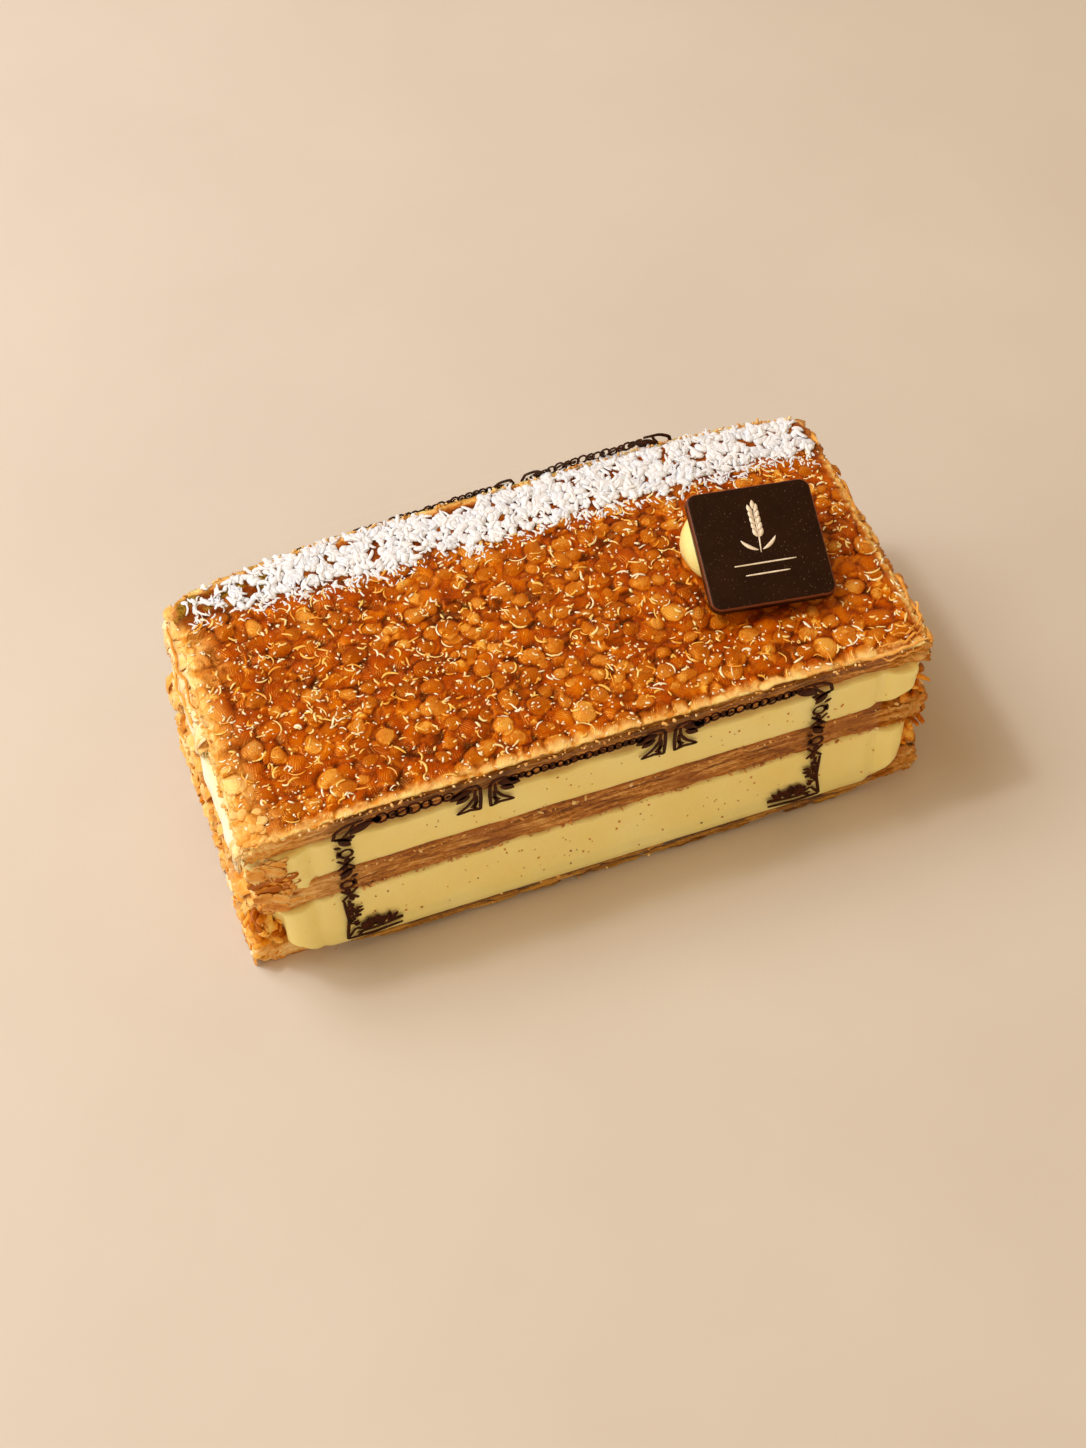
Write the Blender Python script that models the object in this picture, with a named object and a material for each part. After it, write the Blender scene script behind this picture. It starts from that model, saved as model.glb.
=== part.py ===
"""Mille-feuille: three sheets of puff pastry with two layers of vanilla cream between them.

The top sheet is caramelised and blistered and carries a band of sugar along its back rim. A small
chocolate plaque leans on a dollop of cream near the right end, and a clear film lies against each
long cut side. Metres, +Z up, +X along the length, the front cut side towards -Y.
"""

import math
import random

import bmesh
import bpy
from mathutils import Euler, Matrix, Vector, noise

MM = 0.001
GAP = 0.3 * MM                               # clear space between pieces that touch

# Layers, each from its lower to its upper face
BOTTOM_SHEET = (0.0, 6.0 * MM)
LOWER_CREAM = (6.3 * MM, 15.7 * MM)
MIDDLE_SHEET = (16.0 * MM, 22.4 * MM)
UPPER_CREAM = (22.7 * MM, 32.2 * MM)
TOP_SHEET = (32.5 * MM, 38.5 * MM)

# Outline of each layer seen from above: the corners front left, front right, back right, back left
TOP_CORNERS = ((-63.0, -27.9), (62.0, -27.6), (62.2, 28.8), (-60.8, 26.2))
MIDDLE_CORNERS = ((-61.6, -27.8), (62.8, -27.8), (62.6, 28.6), (-61.8, 26.2))
BOTTOM_CORNERS = ((-63.2, -27.2), (63.0, -28.4), (62.8, 28.4), (-63.0, 26.4))
UPPER_CREAM_CORNERS = ((-64.0, -28.1), (61.6, -28.1), (61.2, 28.4), (-63.0, 26.0))
LOWER_CREAM_CORNERS = ((-60.6, -28.1), (60.6, -28.1), (60.2, 28.4), (-60.4, 26.0))
TOP_FRONT_BOW = 1.0 * MM                     # the front rim draws in by this at mid length
BACK_BOW = 4.0 * MM                          # the back side swells out by this at mid length
BOW_POWER = 4                                # how square the bow is

# Flaky ends and cut sides of the sheets
END_LEAF = 1.5 * MM                          # how far the leaves of an end stand out
END_ROUGH = 1.1 * MM                         # how far an end wanders in and out
CUT_ROUGH = 0.35 * MM                        # relief of a long cut side
END_ZONE = 9.0 * MM                          # length over which a cut side turns ragged
WANDER_LENGTH = 6.0 * MM                     # distance over which an end wanders once
TOOTH_LENGTH = 2.2 * MM                      # the same for the small teeth of a leaf
LEAF_WAVE = 0.5 * MM                         # how far a leaf rises and falls along an end
CORNER_CHIP = 1.2 * MM                       # broken off each corner of the top sheet
CAP_INSET = 3.2 * MM                         # from a sheet's edge to its flat inner face

# The lower cream is smeared down over the front of the bottom sheet
FOOT_OUT = 1.8 * MM                          # how far the smear stands out at its foot
FOOT_TOP = 18.0 * MM                         # height at which the front starts to lean out
FOOT_BOTTOM = 3.0 * MM                       # the smear's lower edge
FOOT_THICK = 1.0 * MM
SMEAR_FADES_DOWN = (51.5 * MM, 55.5 * MM)    # the smear hangs less between these distances from the middle
SMEAR_FADES_OUT = (55.6 * MM, 59.0 * MM)     # and stands out less between these
UPPER_CREAM_ROUND = 7.5 * MM
LOWER_CREAM_ROUND = 5.0 * MM
CREAM_SWELL = 0.6 * MM                       # how far the free ends of the creams wander
CREAM_SWELL_LENGTH = 14.0 * MM

# Caramel blisters and sugar on the top sheet
BLISTER_SPACING = 4.4 * MM
BLISTER_RADII = (1.9 * MM, 3.0 * MM)
BLISTER_RISE = (0.9 * MM, 2.0 * MM)
SUGAR_SPACING = 2.9 * MM
SUGAR_RADII = (1.4 * MM, 2.1 * MM)
SUGAR_RISE = (1.3 * MM, 2.5 * MM)
SUGAR_FRONT = 20.6 * MM                      # mean distance of the sugar's front edge from the middle
SUGAR_FRAYS = ((9.0 * MM, 1.3 * MM), (3.0 * MM, 0.9 * MM))   # length and depth of its waves
SUGAR_FADE = 0.8 * MM
SUGAR_ENDS = (-58.0 * MM, 60.0 * MM)
BLISTER_X = (-66.0 * MM, 66.0 * MM)
BLISTER_Y = (-30.0 * MM, 34.0 * MM)
SUGAR_X = (-60.0 * MM, 62.0 * MM)
SUGAR_Y = (18.0 * MM, 33.0 * MM)
VALLEY = 0.9 * MM                            # valleys between the blisters lie this far down
RIM_DROP = 0.5 * MM                          # the rims, pressed by the knife, lie this much lower
GRID_COLUMNS = 72
GRID_ROWS_FRONT = 27
GRID_ROWS_SUGAR = 10
SUGAR_SHARE = 0.83                           # where the finer rows begin, front 0 to back 1

# Chocolate plaque, and the dollop of cream that lifts its back edge
PLAQUE_SIDE = 22.7 * MM
PLAQUE_THICK = 2.0 * MM
PLAQUE_CORNER = 2.0 * MM
PLAQUE_EDGE = 0.45 * MM
PLAQUE_CENTRE = Vector((39.4, -2.5, 45.0)) * MM      # middle of the upper face
PLAQUE_TURN = Euler((math.radians(16.2), math.radians(1.1), math.radians(-7.7)), "XYZ")
DOLLOP_CENTRE = Vector((36.4, 3.2)) * MM
DOLLOP_RADII = (8.9 * MM, 8.0 * MM)
DOLLOP_SIDES = 22
# Share of the dollop's radius, and distance round the plaque, over which the blisters are kept low
DOLLOP_CLEAR = 1.3
PLAQUE_CLEAR = 2.5 * MM

# Clear films against the cut sides
FILM_THICK = 0.3 * MM
FILM_ROWS = 7                                # steps up the front film
FILM_COLUMNS = 14                            # steps along the back film
FRONT_FILM_ENDS = (-52.0 * MM, 53.0 * MM)
FRONT_FILM_HEIGHTS = (2.0 * MM, 38.2 * MM)
BACK_FILM_SHARE = (0.07, 0.80)               # from left to right along the back side
BACK_FILM_HEIGHTS = (7.0 * MM, 40.4 * MM)
BACK_FILM_CORNER = 3.0 * MM                  # cut off the upper right corner
FRONT_FACE = -28.1 * MM                      # where the creams meet the front film, less the gap

CARAMEL = (0.47, 0.16, 0.035)
PASTRY = (0.52, 0.29, 0.11)
CREAM = (0.83, 0.68, 0.33)
CHOCOLATE = (0.022, 0.009, 0.005)
FILM = (0.80, 0.76, 0.68)


def mix(a, b, share):
    return a + (b - a) * share


def smooth(low, high, value):
    """0 below low, 1 above high, an S-curve between them."""
    share = min(1.0, max(0.0, (value - low) / (high - low)))
    return share * share * (3.0 - 2.0 * share)


def ripple(x, y, length, layer):
    """Smooth noise between about -1 and 1 that changes over the given length."""
    return 1.6 * noise.noise(Vector((x / length, y / length, 5.3 * layer + 0.7)))


class Plan:
    """A layer's outline seen from above: four corners and the bows of its front and back."""

    def __init__(self, corners, front_bow=0.0, back_bow=BACK_BOW):
        self.corners = [Vector(corner) * MM for corner in corners]
        self.front_bow = front_bow
        self.back_bow = back_bow
        front_left, front_right, back_right, back_left = self.corners
        self.length = (front_right - front_left).length
        self.width = (back_left - front_left).length

    def point(self, u, v):
        """u runs from the left end to the right, v from the front to the back."""
        front_left, front_right, back_right, back_left = self.corners
        bow = 1.0 - abs(2.0 * u - 1.0) ** BOW_POWER
        front = mix(front_left, front_right, u) + Vector((0.0, self.front_bow * bow))
        back = mix(back_left, back_right, u) + Vector((0.0, self.back_bow * bow))
        return mix(front, back, v)

    def perimeter(self, long_steps, end_steps, corner, corner_steps):
        """Points round the outline with rounded corners, each with its outward direction."""
        half_length = self.length / 2.0
        half_width = self.width / 2.0
        places = []
        sides = (
            ((-half_length, -half_width), (1.0, 0.0), long_steps, self.length),
            ((half_length, -half_width), (0.0, 1.0), end_steps, self.width),
            ((half_length, half_width), (-1.0, 0.0), long_steps, self.length),
            ((-half_length, half_width), (0.0, -1.0), end_steps, self.width),
        )
        for start, along, steps, run in sides:
            start = Vector(start)
            along = Vector(along)
            outward = Vector((along.y, -along.x))
            for step in range(steps + 1):
                reach = corner + (run - 2.0 * corner) * step / steps
                places.append((start + along * reach, outward))
            hub = start + along * (run - corner) - outward * corner
            for step in range(1, corner_steps + 1):
                turn = math.radians(90.0) * step / (corner_steps + 1)
                direction = outward * math.cos(turn) + along * math.sin(turn)
                places.append((hub + direction * corner, direction))
        points = []
        for place, outward in places:
            u = place.x / self.length + 0.5
            v = place.y / self.width + 0.5
            points.append((self.point(u, v), outward))
        return points


def material(name, colour, roughness, alpha=1.0):
    made = bpy.data.materials.new(name)
    made.use_nodes = True
    shader = made.node_tree.nodes["Principled BSDF"]
    shader.inputs["Base Color"].default_value = (*colour, 1.0)
    shader.inputs["Roughness"].default_value = roughness
    shader.inputs["Metallic"].default_value = 0.0
    shader.inputs["Alpha"].default_value = alpha
    return made


def finish(name, mesh_builder, made, round_off=40.0):
    """Turn a bmesh into a named object with outward faces and one material."""
    bmesh.ops.recalc_face_normals(mesh_builder, faces=mesh_builder.faces[:])
    mesh = bpy.data.meshes.new(name)
    mesh_builder.to_mesh(mesh)
    mesh_builder.free()
    mesh.shade_smooth()
    mesh.set_sharp_from_angle(angle=math.radians(round_off))
    mesh.materials.append(made)
    piece = bpy.data.objects.new(name, mesh)
    bpy.context.scene.collection.objects.link(piece)
    return piece


def band(builder, lower, upper):
    """Join two closed rings of the same count with triangles."""
    count = len(lower)
    for index in range(count):
        after = (index + 1) % count
        builder.faces.new((lower[index], lower[after], upper[after]))
        builder.faces.new((lower[index], upper[after], upper[index]))


def close(builder, ring):
    """Fill a flat ring with triangles."""
    face = builder.faces.new(ring)
    bmesh.ops.triangulate(builder, faces=[face], ngon_method="BEAUTY")


def loft(name, rings, made):
    """A closed solid through a stack of rings; the first and the last are flat and filled."""
    builder = bmesh.new()
    stack = []
    for ring in rings:
        stack.append([builder.verts.new(point) for point in ring])
    for lower, upper in zip(stack, stack[1:]):
        band(builder, lower, upper)
    close(builder, stack[0])
    close(builder, stack[-1])
    return finish(name, builder, made)


def end_weight(x, plan):
    """1 at the ragged ends of a sheet, 0 along its cut sides."""
    reach = min(x - plan.corners[0].x, plan.corners[1].x - x)
    return 1.0 - smooth(0.0, END_ZONE, reach)


def flaky_point(place, outward, plan, level, leaf):
    """A point of a sheet's side, moved out or in as the leaves of the pastry stand."""
    ragged = end_weight(place.x, plan)
    wander = ripple(place.x, place.y, WANDER_LENGTH, level) * END_ROUGH
    tooth = ripple(place.x, place.y, TOOTH_LENGTH, level + 20) * END_LEAF * 0.5
    end_offset = leaf * END_LEAF + wander + tooth - 0.6 * END_LEAF
    cut_offset = (ripple(place.x, place.y, 5.0 * MM, level) - 1.0) * CUT_ROUGH * 0.5
    return place + outward * mix(cut_offset, end_offset, ragged)


# Height share and outward leaf of each ring of a sheet's side: leaves stand out, gaps lie in
LEAVES = ((0.0, -0.2), (0.14, 0.7), (0.32, -0.5), (0.48, 0.8), (0.66, -0.5), (0.84, 0.7), (1.0, 0.0))
TOP_LEAVES = ((0.72, 0.6), (0.5, -0.5), (0.28, 0.5), (0.0, -0.3))


def sheet(name, plan, heights, layer, made):
    """A plain sheet of puff pastry with ragged ends and flat inner faces."""
    low, high = heights
    outline = plan.perimeter(long_steps=30, end_steps=16, corner=1.6 * MM, corner_steps=1)
    rings = [[(place - outward * CAP_INSET).to_3d() for place, outward in outline]]
    for level, (share, leaf) in enumerate(LEAVES):
        ring = []
        for place, outward in outline:
            spot = flaky_point(place, outward, plan, 10 * layer + level, leaf)
            ragged = end_weight(place.x, plan)
            inner = 0.0 < share < 1.0
            wave = ripple(place.x, place.y, 4.0 * MM, level + 40) * LEAF_WAVE if inner else 0.0
            ring.append(Vector((spot.x, spot.y, mix(low, high, share) + wave * ragged)))
        rings.append(ring)
    rings.append([point.copy() for point in rings[0]])
    for point in rings[0]:
        point.z = low
    for point in rings[-1]:
        point.z = high
    return loft(name, rings, made)


def scatter(seed, x_range, y_range, spacing, radii, rises):
    """Lumps on a staggered lattice, each shaken: centre x and y, radius and rise."""
    draw = random.Random(seed)
    row_step = spacing * 0.87
    lumps = []
    for row in range(int((y_range[1] - y_range[0]) / row_step) + 1):
        shift = spacing / 2.0 if row % 2 else 0.0
        for column in range(int((x_range[1] - x_range[0]) / spacing) + 1):
            x = x_range[0] + column * spacing + shift + draw.uniform(-0.3, 0.3) * spacing
            y = y_range[0] + row * row_step + draw.uniform(-0.3, 0.3) * spacing
            size = draw.random() ** 1.5
            lumps.append((x, y, mix(*radii, size), mix(*rises, size) * draw.uniform(0.7, 1.0)))
    return lumps


def lump_rise(x, y, lumps):
    """Height of the highest lump over a point, or 0 between the lumps."""
    rise = 0.0
    for centre_x, centre_y, radius, height in lumps:
        reach = math.hypot(x - centre_x, y - centre_y) / radius
        if reach < 1.0:
            rise = max(rise, height * math.sqrt(1.0 - reach * reach))
    return rise


def plaque_underside(x, y):
    """Height of the plaque's lower face, as an endless plane, over a point."""
    normal = PLAQUE_TURN.to_matrix() @ Vector((0.0, 0.0, 1.0))
    foot = PLAQUE_CENTRE - normal * PLAQUE_THICK
    return foot.z - ((x - foot.x) * normal.x + (y - foot.y) * normal.y) / normal.z


def plaque_reach(x, y):
    """How far a point lies outside the plaque seen from above; negative inside."""
    local = Matrix.Rotation(-PLAQUE_TURN.z, 2) @ (Vector((x, y)) - PLAQUE_CENTRE.xy)
    return max(abs(local.x), abs(local.y)) - PLAQUE_SIDE / 2.0


def dollop_reach(x, y):
    """Distance of a point from the dollop's middle, as a share of the dollop's radius."""
    return math.hypot((x - DOLLOP_CENTRE.x) / DOLLOP_RADII[0], (y - DOLLOP_CENTRE.y) / DOLLOP_RADII[1])


def top_height(x, y, edge, blisters, sugar):
    """Height of the caramelised upper face, with its blisters and its sugar."""
    rim = smooth(0.0, 3.0 * MM, edge)
    ground = TOP_SHEET[1] - VALLEY - RIM_DROP * (1.0 - rim)
    height = ground + lump_rise(x, y, blisters) * mix(0.45, 1.0, rim)
    front = SUGAR_FRONT
    for length, depth in SUGAR_FRAYS:
        front += ripple(x, 0.0, length, 61) * depth
    sugared = smooth(front - SUGAR_FADE, front + SUGAR_FADE, y)
    sugared *= smooth(SUGAR_ENDS[0] - SUGAR_FADE, SUGAR_ENDS[0] + SUGAR_FADE, x)
    sugared *= 1.0 - smooth(SUGAR_ENDS[1] - SUGAR_FADE, SUGAR_ENDS[1] + SUGAR_FADE, x)
    height = max(height, ground + sugared * lump_rise(x, y, sugar))
    if dollop_reach(x, y) < DOLLOP_CLEAR:
        height = min(height, TOP_SHEET[1])
    if plaque_reach(x, y) < PLAQUE_CLEAR:
        height = min(height, max(TOP_SHEET[1], plaque_underside(x, y) - GAP))
    return height


def top_sheet(made):
    """The top sheet: a relief of blisters and sugar over flaky sides and a flat lower face."""
    plan = Plan(TOP_CORNERS, front_bow=TOP_FRONT_BOW)
    blisters = scatter(11, BLISTER_X, BLISTER_Y, BLISTER_SPACING, BLISTER_RADII, BLISTER_RISE)
    sugar = scatter(12, SUGAR_X, SUGAR_Y, SUGAR_SPACING, SUGAR_RADII, SUGAR_RISE)
    shares = [SUGAR_SHARE * row / GRID_ROWS_FRONT for row in range(GRID_ROWS_FRONT)]
    shares += [mix(SUGAR_SHARE, 1.0, row / GRID_ROWS_SUGAR) for row in range(GRID_ROWS_SUGAR + 1)]
    last = len(shares) - 1
    builder = bmesh.new()
    grid = []
    for row, v in enumerate(shares):
        line = []
        for column in range(GRID_COLUMNS + 1):
            u = column / GRID_COLUMNS
            place = plan.point(u, v)
            side_x = (column == GRID_COLUMNS) - (column == 0)
            side_y = (row == last) - (row == 0)
            if side_x or side_y:
                outward = Vector((side_x, side_y)).normalized()
                place = flaky_point(place, outward, plan, 30, 0.1)
                if side_x and side_y:
                    place -= outward * CORNER_CHIP
            edge = min(u * plan.length, (1.0 - u) * plan.length, v * plan.width, (1.0 - v) * plan.width)
            line.append(builder.verts.new((*place, top_height(*place, edge, blisters, sugar))))
        grid.append(line)
    for near, far in zip(grid, grid[1:]):
        for column in range(GRID_COLUMNS):
            builder.faces.new((near[column], near[column + 1], far[column + 1]))
            builder.faces.new((near[column], far[column + 1], far[column]))
    border = grid[0][:-1] + [line[-1] for line in grid[:-1]]
    border += grid[last][:0:-1] + [line[0] for line in grid[:0:-1]]
    upper = border
    for level, (share, leaf) in enumerate(TOP_LEAVES):
        ring = []
        for vert in border:
            outward = border_direction(vert.co, plan)
            spot = flaky_point(vert.co.xy, outward, plan, 31 + level, leaf)
            ring.append(builder.verts.new((*spot, mix(*TOP_SHEET, share))))
        band(builder, ring, upper)
        upper = ring
    inner = []
    for vert in border:
        spot = vert.co.xy - border_direction(vert.co, plan) * CAP_INSET
        inner.append(builder.verts.new((*spot, TOP_SHEET[0])))
    band(builder, inner, upper)
    close(builder, inner)
    return finish("pastry_top", builder, made)


def border_direction(place, plan):
    """Outward direction at a border point of the top sheet, slanted near the corners."""
    middle_y = (plan.corners[0].y + plan.corners[2].y) / 2.0
    far_x = abs(place.x) - (plan.length / 2.0 - CAP_INSET)
    far_y = abs(place.y - middle_y) - (plan.width / 2.0 - CAP_INSET)
    if far_x <= 0.0:
        return Vector((0.0, math.copysign(1.0, place.y - middle_y)))
    side_y = math.copysign(max(0.0, far_y), place.y - middle_y)
    return Vector((math.copysign(far_x, place.x), side_y)).normalized()


def lean(z):
    """How far the front face leans out at a height, over the smear of the lower cream."""
    share = max(0.0, 1.0 - z / FOOT_TOP)
    return FOOT_OUT * share ** 1.2


# Offset and height share of each ring of a cream layer where its side swells freely
FREE_SIDE = ((-5.0, 0.0), (-3.4, 0.0), (-2.8, 0.03), (-2.0, 0.08), (-1.1, 0.2), (-0.3, 0.42),
             (0.0, 0.68), (-0.6, 0.95), (-3.2, 1.0))
# The same where the side is pressed flat by a film
PRESSED_SIDE = ((-5.0, 0.0), (-2.6, 0.0), (-1.2, 0.01), (-0.6, 0.04), (-0.2, 0.12), (0.0, 0.4),
                (0.0, 0.7), (-0.1, 0.97), (-3.2, 1.0))


def cream_layer(name, corners, heights, corner, made, smeared=False):
    """A layer of cream, free at its ends, pressed flat at front and back."""
    plan = Plan(corners, back_bow=BACK_BOW - 0.2 * MM)
    low, high = heights
    outline = plan.perimeter(long_steps=30, end_steps=9, corner=corner, corner_steps=4)
    smear = (
        (-5.0 * MM, low), (-1.0 * MM, low), (FOOT_OUT - FOOT_THICK, low),
        (FOOT_OUT - FOOT_THICK, FOOT_BOTTOM), (lean(FOOT_BOTTOM), FOOT_BOTTOM + 0.2 * MM),
        (lean(8.0 * MM), 8.0 * MM), (lean(12.0 * MM), 12.0 * MM),
        (lean(high) - 0.1 * MM, high - 0.2 * MM), (-3.2 * MM, high),
    )
    rings = []
    for level, (free, pressed) in enumerate(zip(FREE_SIDE, PRESSED_SIDE)):
        ring = []
        for place, outward in outline:
            flat = smooth(0.75, 1.0, abs(outward.y))
            offset = mix(free[0], pressed[0], flat) * MM
            z = mix(low, high, mix(free[1], pressed[1], flat))
            if smeared and outward.y < 0.0:
                hang = 1.0 - smooth(*SMEAR_FADES_DOWN, abs(place.x))
                reach = flat * (1.0 - smooth(*SMEAR_FADES_OUT, abs(place.x)))
                offset = mix(offset, smear[level][0], reach)
                z = mix(z, smear[level][1], hang)
            swell = ripple(place.x, place.y, CREAM_SWELL_LENGTH, level // 3 + 70) * CREAM_SWELL
            spot = place + outward * (offset + swell * (1.0 - flat))
            ring.append(Vector((spot.x, spot.y, z)))
        rings.append(ring)
    return loft(name, rings, made)


def dollop(made):
    """A spooned dollop of cream, flattened on top by the plaque that leans on it."""
    low = TOP_SHEET[1] + GAP
    rings = []
    for share, spread in ((0.0, 0.80), (0.12, 0.96), (0.45, 1.0), (0.75, 0.94), (0.92, 0.82), (1.0, 0.66)):
        ring = []
        for side in range(DOLLOP_SIDES):
            turn = math.tau * side / DOLLOP_SIDES
            swell = 1.0 + 0.05 * math.sin(2.0 * turn + 0.6) + 0.03 * math.sin(3.0 * turn)
            x = DOLLOP_CENTRE.x + DOLLOP_RADII[0] * spread * swell * math.cos(turn)
            y = DOLLOP_CENTRE.y + DOLLOP_RADII[1] * spread * swell * math.sin(turn)
            ring.append(Vector((x, y, mix(low, plaque_underside(x, y) - GAP, share))))
        rings.append(ring)
    return loft("cream_dollop", rings, made)


def plaque(made):
    """A square chocolate plaque with round corners and softened rims, leaning back to front."""
    inner = PLAQUE_SIDE / 2.0 - PLAQUE_CORNER
    outline = []
    for corner in range(4):
        hub = Matrix.Rotation(math.radians(90.0 * corner), 2) @ Vector((inner, inner))
        for step in range(6):
            turn = math.radians(90.0 * corner + 18.0 * step)
            outline.append(hub + Vector((math.cos(turn), math.sin(turn))) * PLAQUE_CORNER)
    rings = [[Vector((*spot, z)) for spot in outline] for z in (-PLAQUE_THICK, 0.0)]
    piece = loft("chocolate_plaque", rings, made)
    rim = piece.modifiers.new("Softened rims", "BEVEL")
    rim.width = PLAQUE_EDGE
    rim.segments = 2
    rim.limit_method = "ANGLE"
    rim.angle_limit = math.radians(60.0)
    piece.location = PLAQUE_CENTRE
    piece.rotation_euler = PLAQUE_TURN
    return piece


def film(name, columns, made):
    """A thin sheet from columns of inner and outer points, bottom to top."""
    builder = bmesh.new()
    rows = len(columns[0][0])
    inner = [[builder.verts.new(point) for point in column[0]] for column in columns]
    outer = [[builder.verts.new(point) for point in column[1]] for column in columns]

    def quad(a, b, c, d):
        builder.faces.new((a, b, c))
        builder.faces.new((a, c, d))

    for left in range(len(columns) - 1):
        right = left + 1
        for row in range(rows - 1):
            quad(inner[left][row], inner[left][row + 1], inner[right][row + 1], inner[right][row])
            quad(outer[left][row], outer[right][row], outer[right][row + 1], outer[left][row + 1])
        quad(inner[left][0], inner[right][0], outer[right][0], outer[left][0])
        quad(inner[left][-1], outer[left][-1], outer[right][-1], inner[right][-1])
    for column, turned in ((0, False), (len(columns) - 1, True)):
        for row in range(rows - 1):
            corners = (inner[column][row], outer[column][row], outer[column][row + 1], inner[column][row + 1])
            quad(*(reversed(corners) if turned else corners))
    return finish(name, builder, made)


def front_film(made):
    """The film on the front cut side, leaning out with the smear at its foot."""
    low, high = FRONT_FILM_HEIGHTS
    heights = [mix(low, high, step / FILM_ROWS) for step in range(FILM_ROWS + 1)]
    columns = []
    for x in FRONT_FILM_ENDS:
        inner = [Vector((x, FRONT_FACE - GAP - lean(z), z)) for z in heights]
        outer = [point - Vector((0.0, FILM_THICK, 0.0)) for point in inner]
        columns.append((inner, outer))
    return film("film_front", columns, made)


def back_film(made):
    """The film on the back cut side, bent along its bow and standing above the back rim."""
    plan = Plan(TOP_CORNERS)
    low, high = BACK_FILM_HEIGHTS
    columns = []
    for step in range(FILM_COLUMNS + 1):
        share = mix(*BACK_FILM_SHARE, step / FILM_COLUMNS)
        place = plan.point(share, 1.0)
        top = high - BACK_FILM_CORNER if step == FILM_COLUMNS else high
        inner = [Vector((place.x, place.y + 1.5 * GAP, z)) for z in (low, mix(low, top, 0.5), top)]
        outer = [point + Vector((0.0, FILM_THICK, 0.0)) for point in inner]
        columns.append((inner, outer))
    return film("film_back", columns, made)


def clear_scene():
    for piece in list(bpy.data.objects):
        bpy.data.objects.remove(piece, do_unlink=True)


def recentre(pieces):
    """Hang every piece on one empty, moved so that the origin is below the middle of the box."""
    bpy.context.view_layer.update()
    corners = []
    for piece in pieces:
        corners += [piece.matrix_world @ Vector(corner) for corner in piece.bound_box]
    middle_x = (min(c.x for c in corners) + max(c.x for c in corners)) / 2.0
    middle_y = (min(c.y for c in corners) + max(c.y for c in corners)) / 2.0
    carrier = bpy.data.objects.new("mille_feuille", None)
    bpy.context.scene.collection.objects.link(carrier)
    carrier.location = (-middle_x, -middle_y, 0.0)
    for piece in pieces:
        piece.parent = carrier


def main():
    clear_scene()
    pastry = material("pastry", PASTRY, 0.7)
    cream = material("cream", CREAM, 0.4)
    clear = material("clear_film", FILM, 0.12, alpha=0.3)
    recentre([
        sheet("pastry_bottom", Plan(BOTTOM_CORNERS), BOTTOM_SHEET, 1, pastry),
        cream_layer("cream_lower", LOWER_CREAM_CORNERS, LOWER_CREAM, LOWER_CREAM_ROUND, cream,
                    smeared=True),
        sheet("pastry_middle", Plan(MIDDLE_CORNERS), MIDDLE_SHEET, 2, material("pastry_mid", PASTRY, 0.7)),
        cream_layer("cream_upper", UPPER_CREAM_CORNERS, UPPER_CREAM, UPPER_CREAM_ROUND,
                    material("cream_up", CREAM, 0.4)),
        top_sheet(material("caramel", CARAMEL, 0.25)),
        dollop(material("cream_spoon", CREAM, 0.4)),
        plaque(material("chocolate", CHOCOLATE, 0.3)),
        front_film(clear),
        back_film(material("clear_film_back", FILM, 0.12, alpha=0.3)),
    ])


main()
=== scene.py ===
"""Looks of the mille-feuille: caramel, flaky pastry, cream, sugar, a chocolate plaque and printed film.

Sizes are millimetres in the slice's own plan, x to the right, y to the back and z up. The plan's
middle lies SHIFT away from the frame's, and make() brings every piece over.
"""

import math
import random

import bmesh
import bpy
import numpy as np
from mathutils import Euler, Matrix, Vector, noise as vector_noise


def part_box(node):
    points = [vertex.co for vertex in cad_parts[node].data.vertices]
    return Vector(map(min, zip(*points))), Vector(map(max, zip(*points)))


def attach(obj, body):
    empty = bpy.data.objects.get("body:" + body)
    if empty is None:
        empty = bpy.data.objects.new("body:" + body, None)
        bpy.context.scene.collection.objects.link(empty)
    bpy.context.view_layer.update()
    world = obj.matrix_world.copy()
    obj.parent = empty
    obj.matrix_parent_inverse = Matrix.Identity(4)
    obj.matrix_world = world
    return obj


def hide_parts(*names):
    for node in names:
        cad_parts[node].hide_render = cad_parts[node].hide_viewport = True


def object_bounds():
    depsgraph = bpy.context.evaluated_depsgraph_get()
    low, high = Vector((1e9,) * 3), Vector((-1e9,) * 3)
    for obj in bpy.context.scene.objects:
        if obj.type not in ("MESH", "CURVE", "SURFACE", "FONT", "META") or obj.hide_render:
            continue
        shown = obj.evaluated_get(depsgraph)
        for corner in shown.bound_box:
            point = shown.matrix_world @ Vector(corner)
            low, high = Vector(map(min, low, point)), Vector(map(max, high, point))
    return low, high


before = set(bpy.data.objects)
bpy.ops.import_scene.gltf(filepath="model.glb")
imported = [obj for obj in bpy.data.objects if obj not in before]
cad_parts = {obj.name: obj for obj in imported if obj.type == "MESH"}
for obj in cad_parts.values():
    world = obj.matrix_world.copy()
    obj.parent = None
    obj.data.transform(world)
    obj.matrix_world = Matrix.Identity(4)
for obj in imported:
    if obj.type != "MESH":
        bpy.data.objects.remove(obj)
CAD_LOW, CAD_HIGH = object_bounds()

MM = 0.001
FILM_THICK = 0.3
FRONT_FILM_X = (-52.0, 53.0)
FRONT_FILM_Y = -28.4                         # inner face of the front film, where it stands upright
FILM_LOW, FILM_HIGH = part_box("film_front")
SHIFT = np.array([FILM_LOW.x / MM - FRONT_FILM_X[0], FILM_HIGH.y / MM - FRONT_FILM_Y, 0.0])


def heights(node):
    """Lowest and highest level of a node."""
    low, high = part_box(node)
    return low.z / MM, high.z / MM


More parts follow.
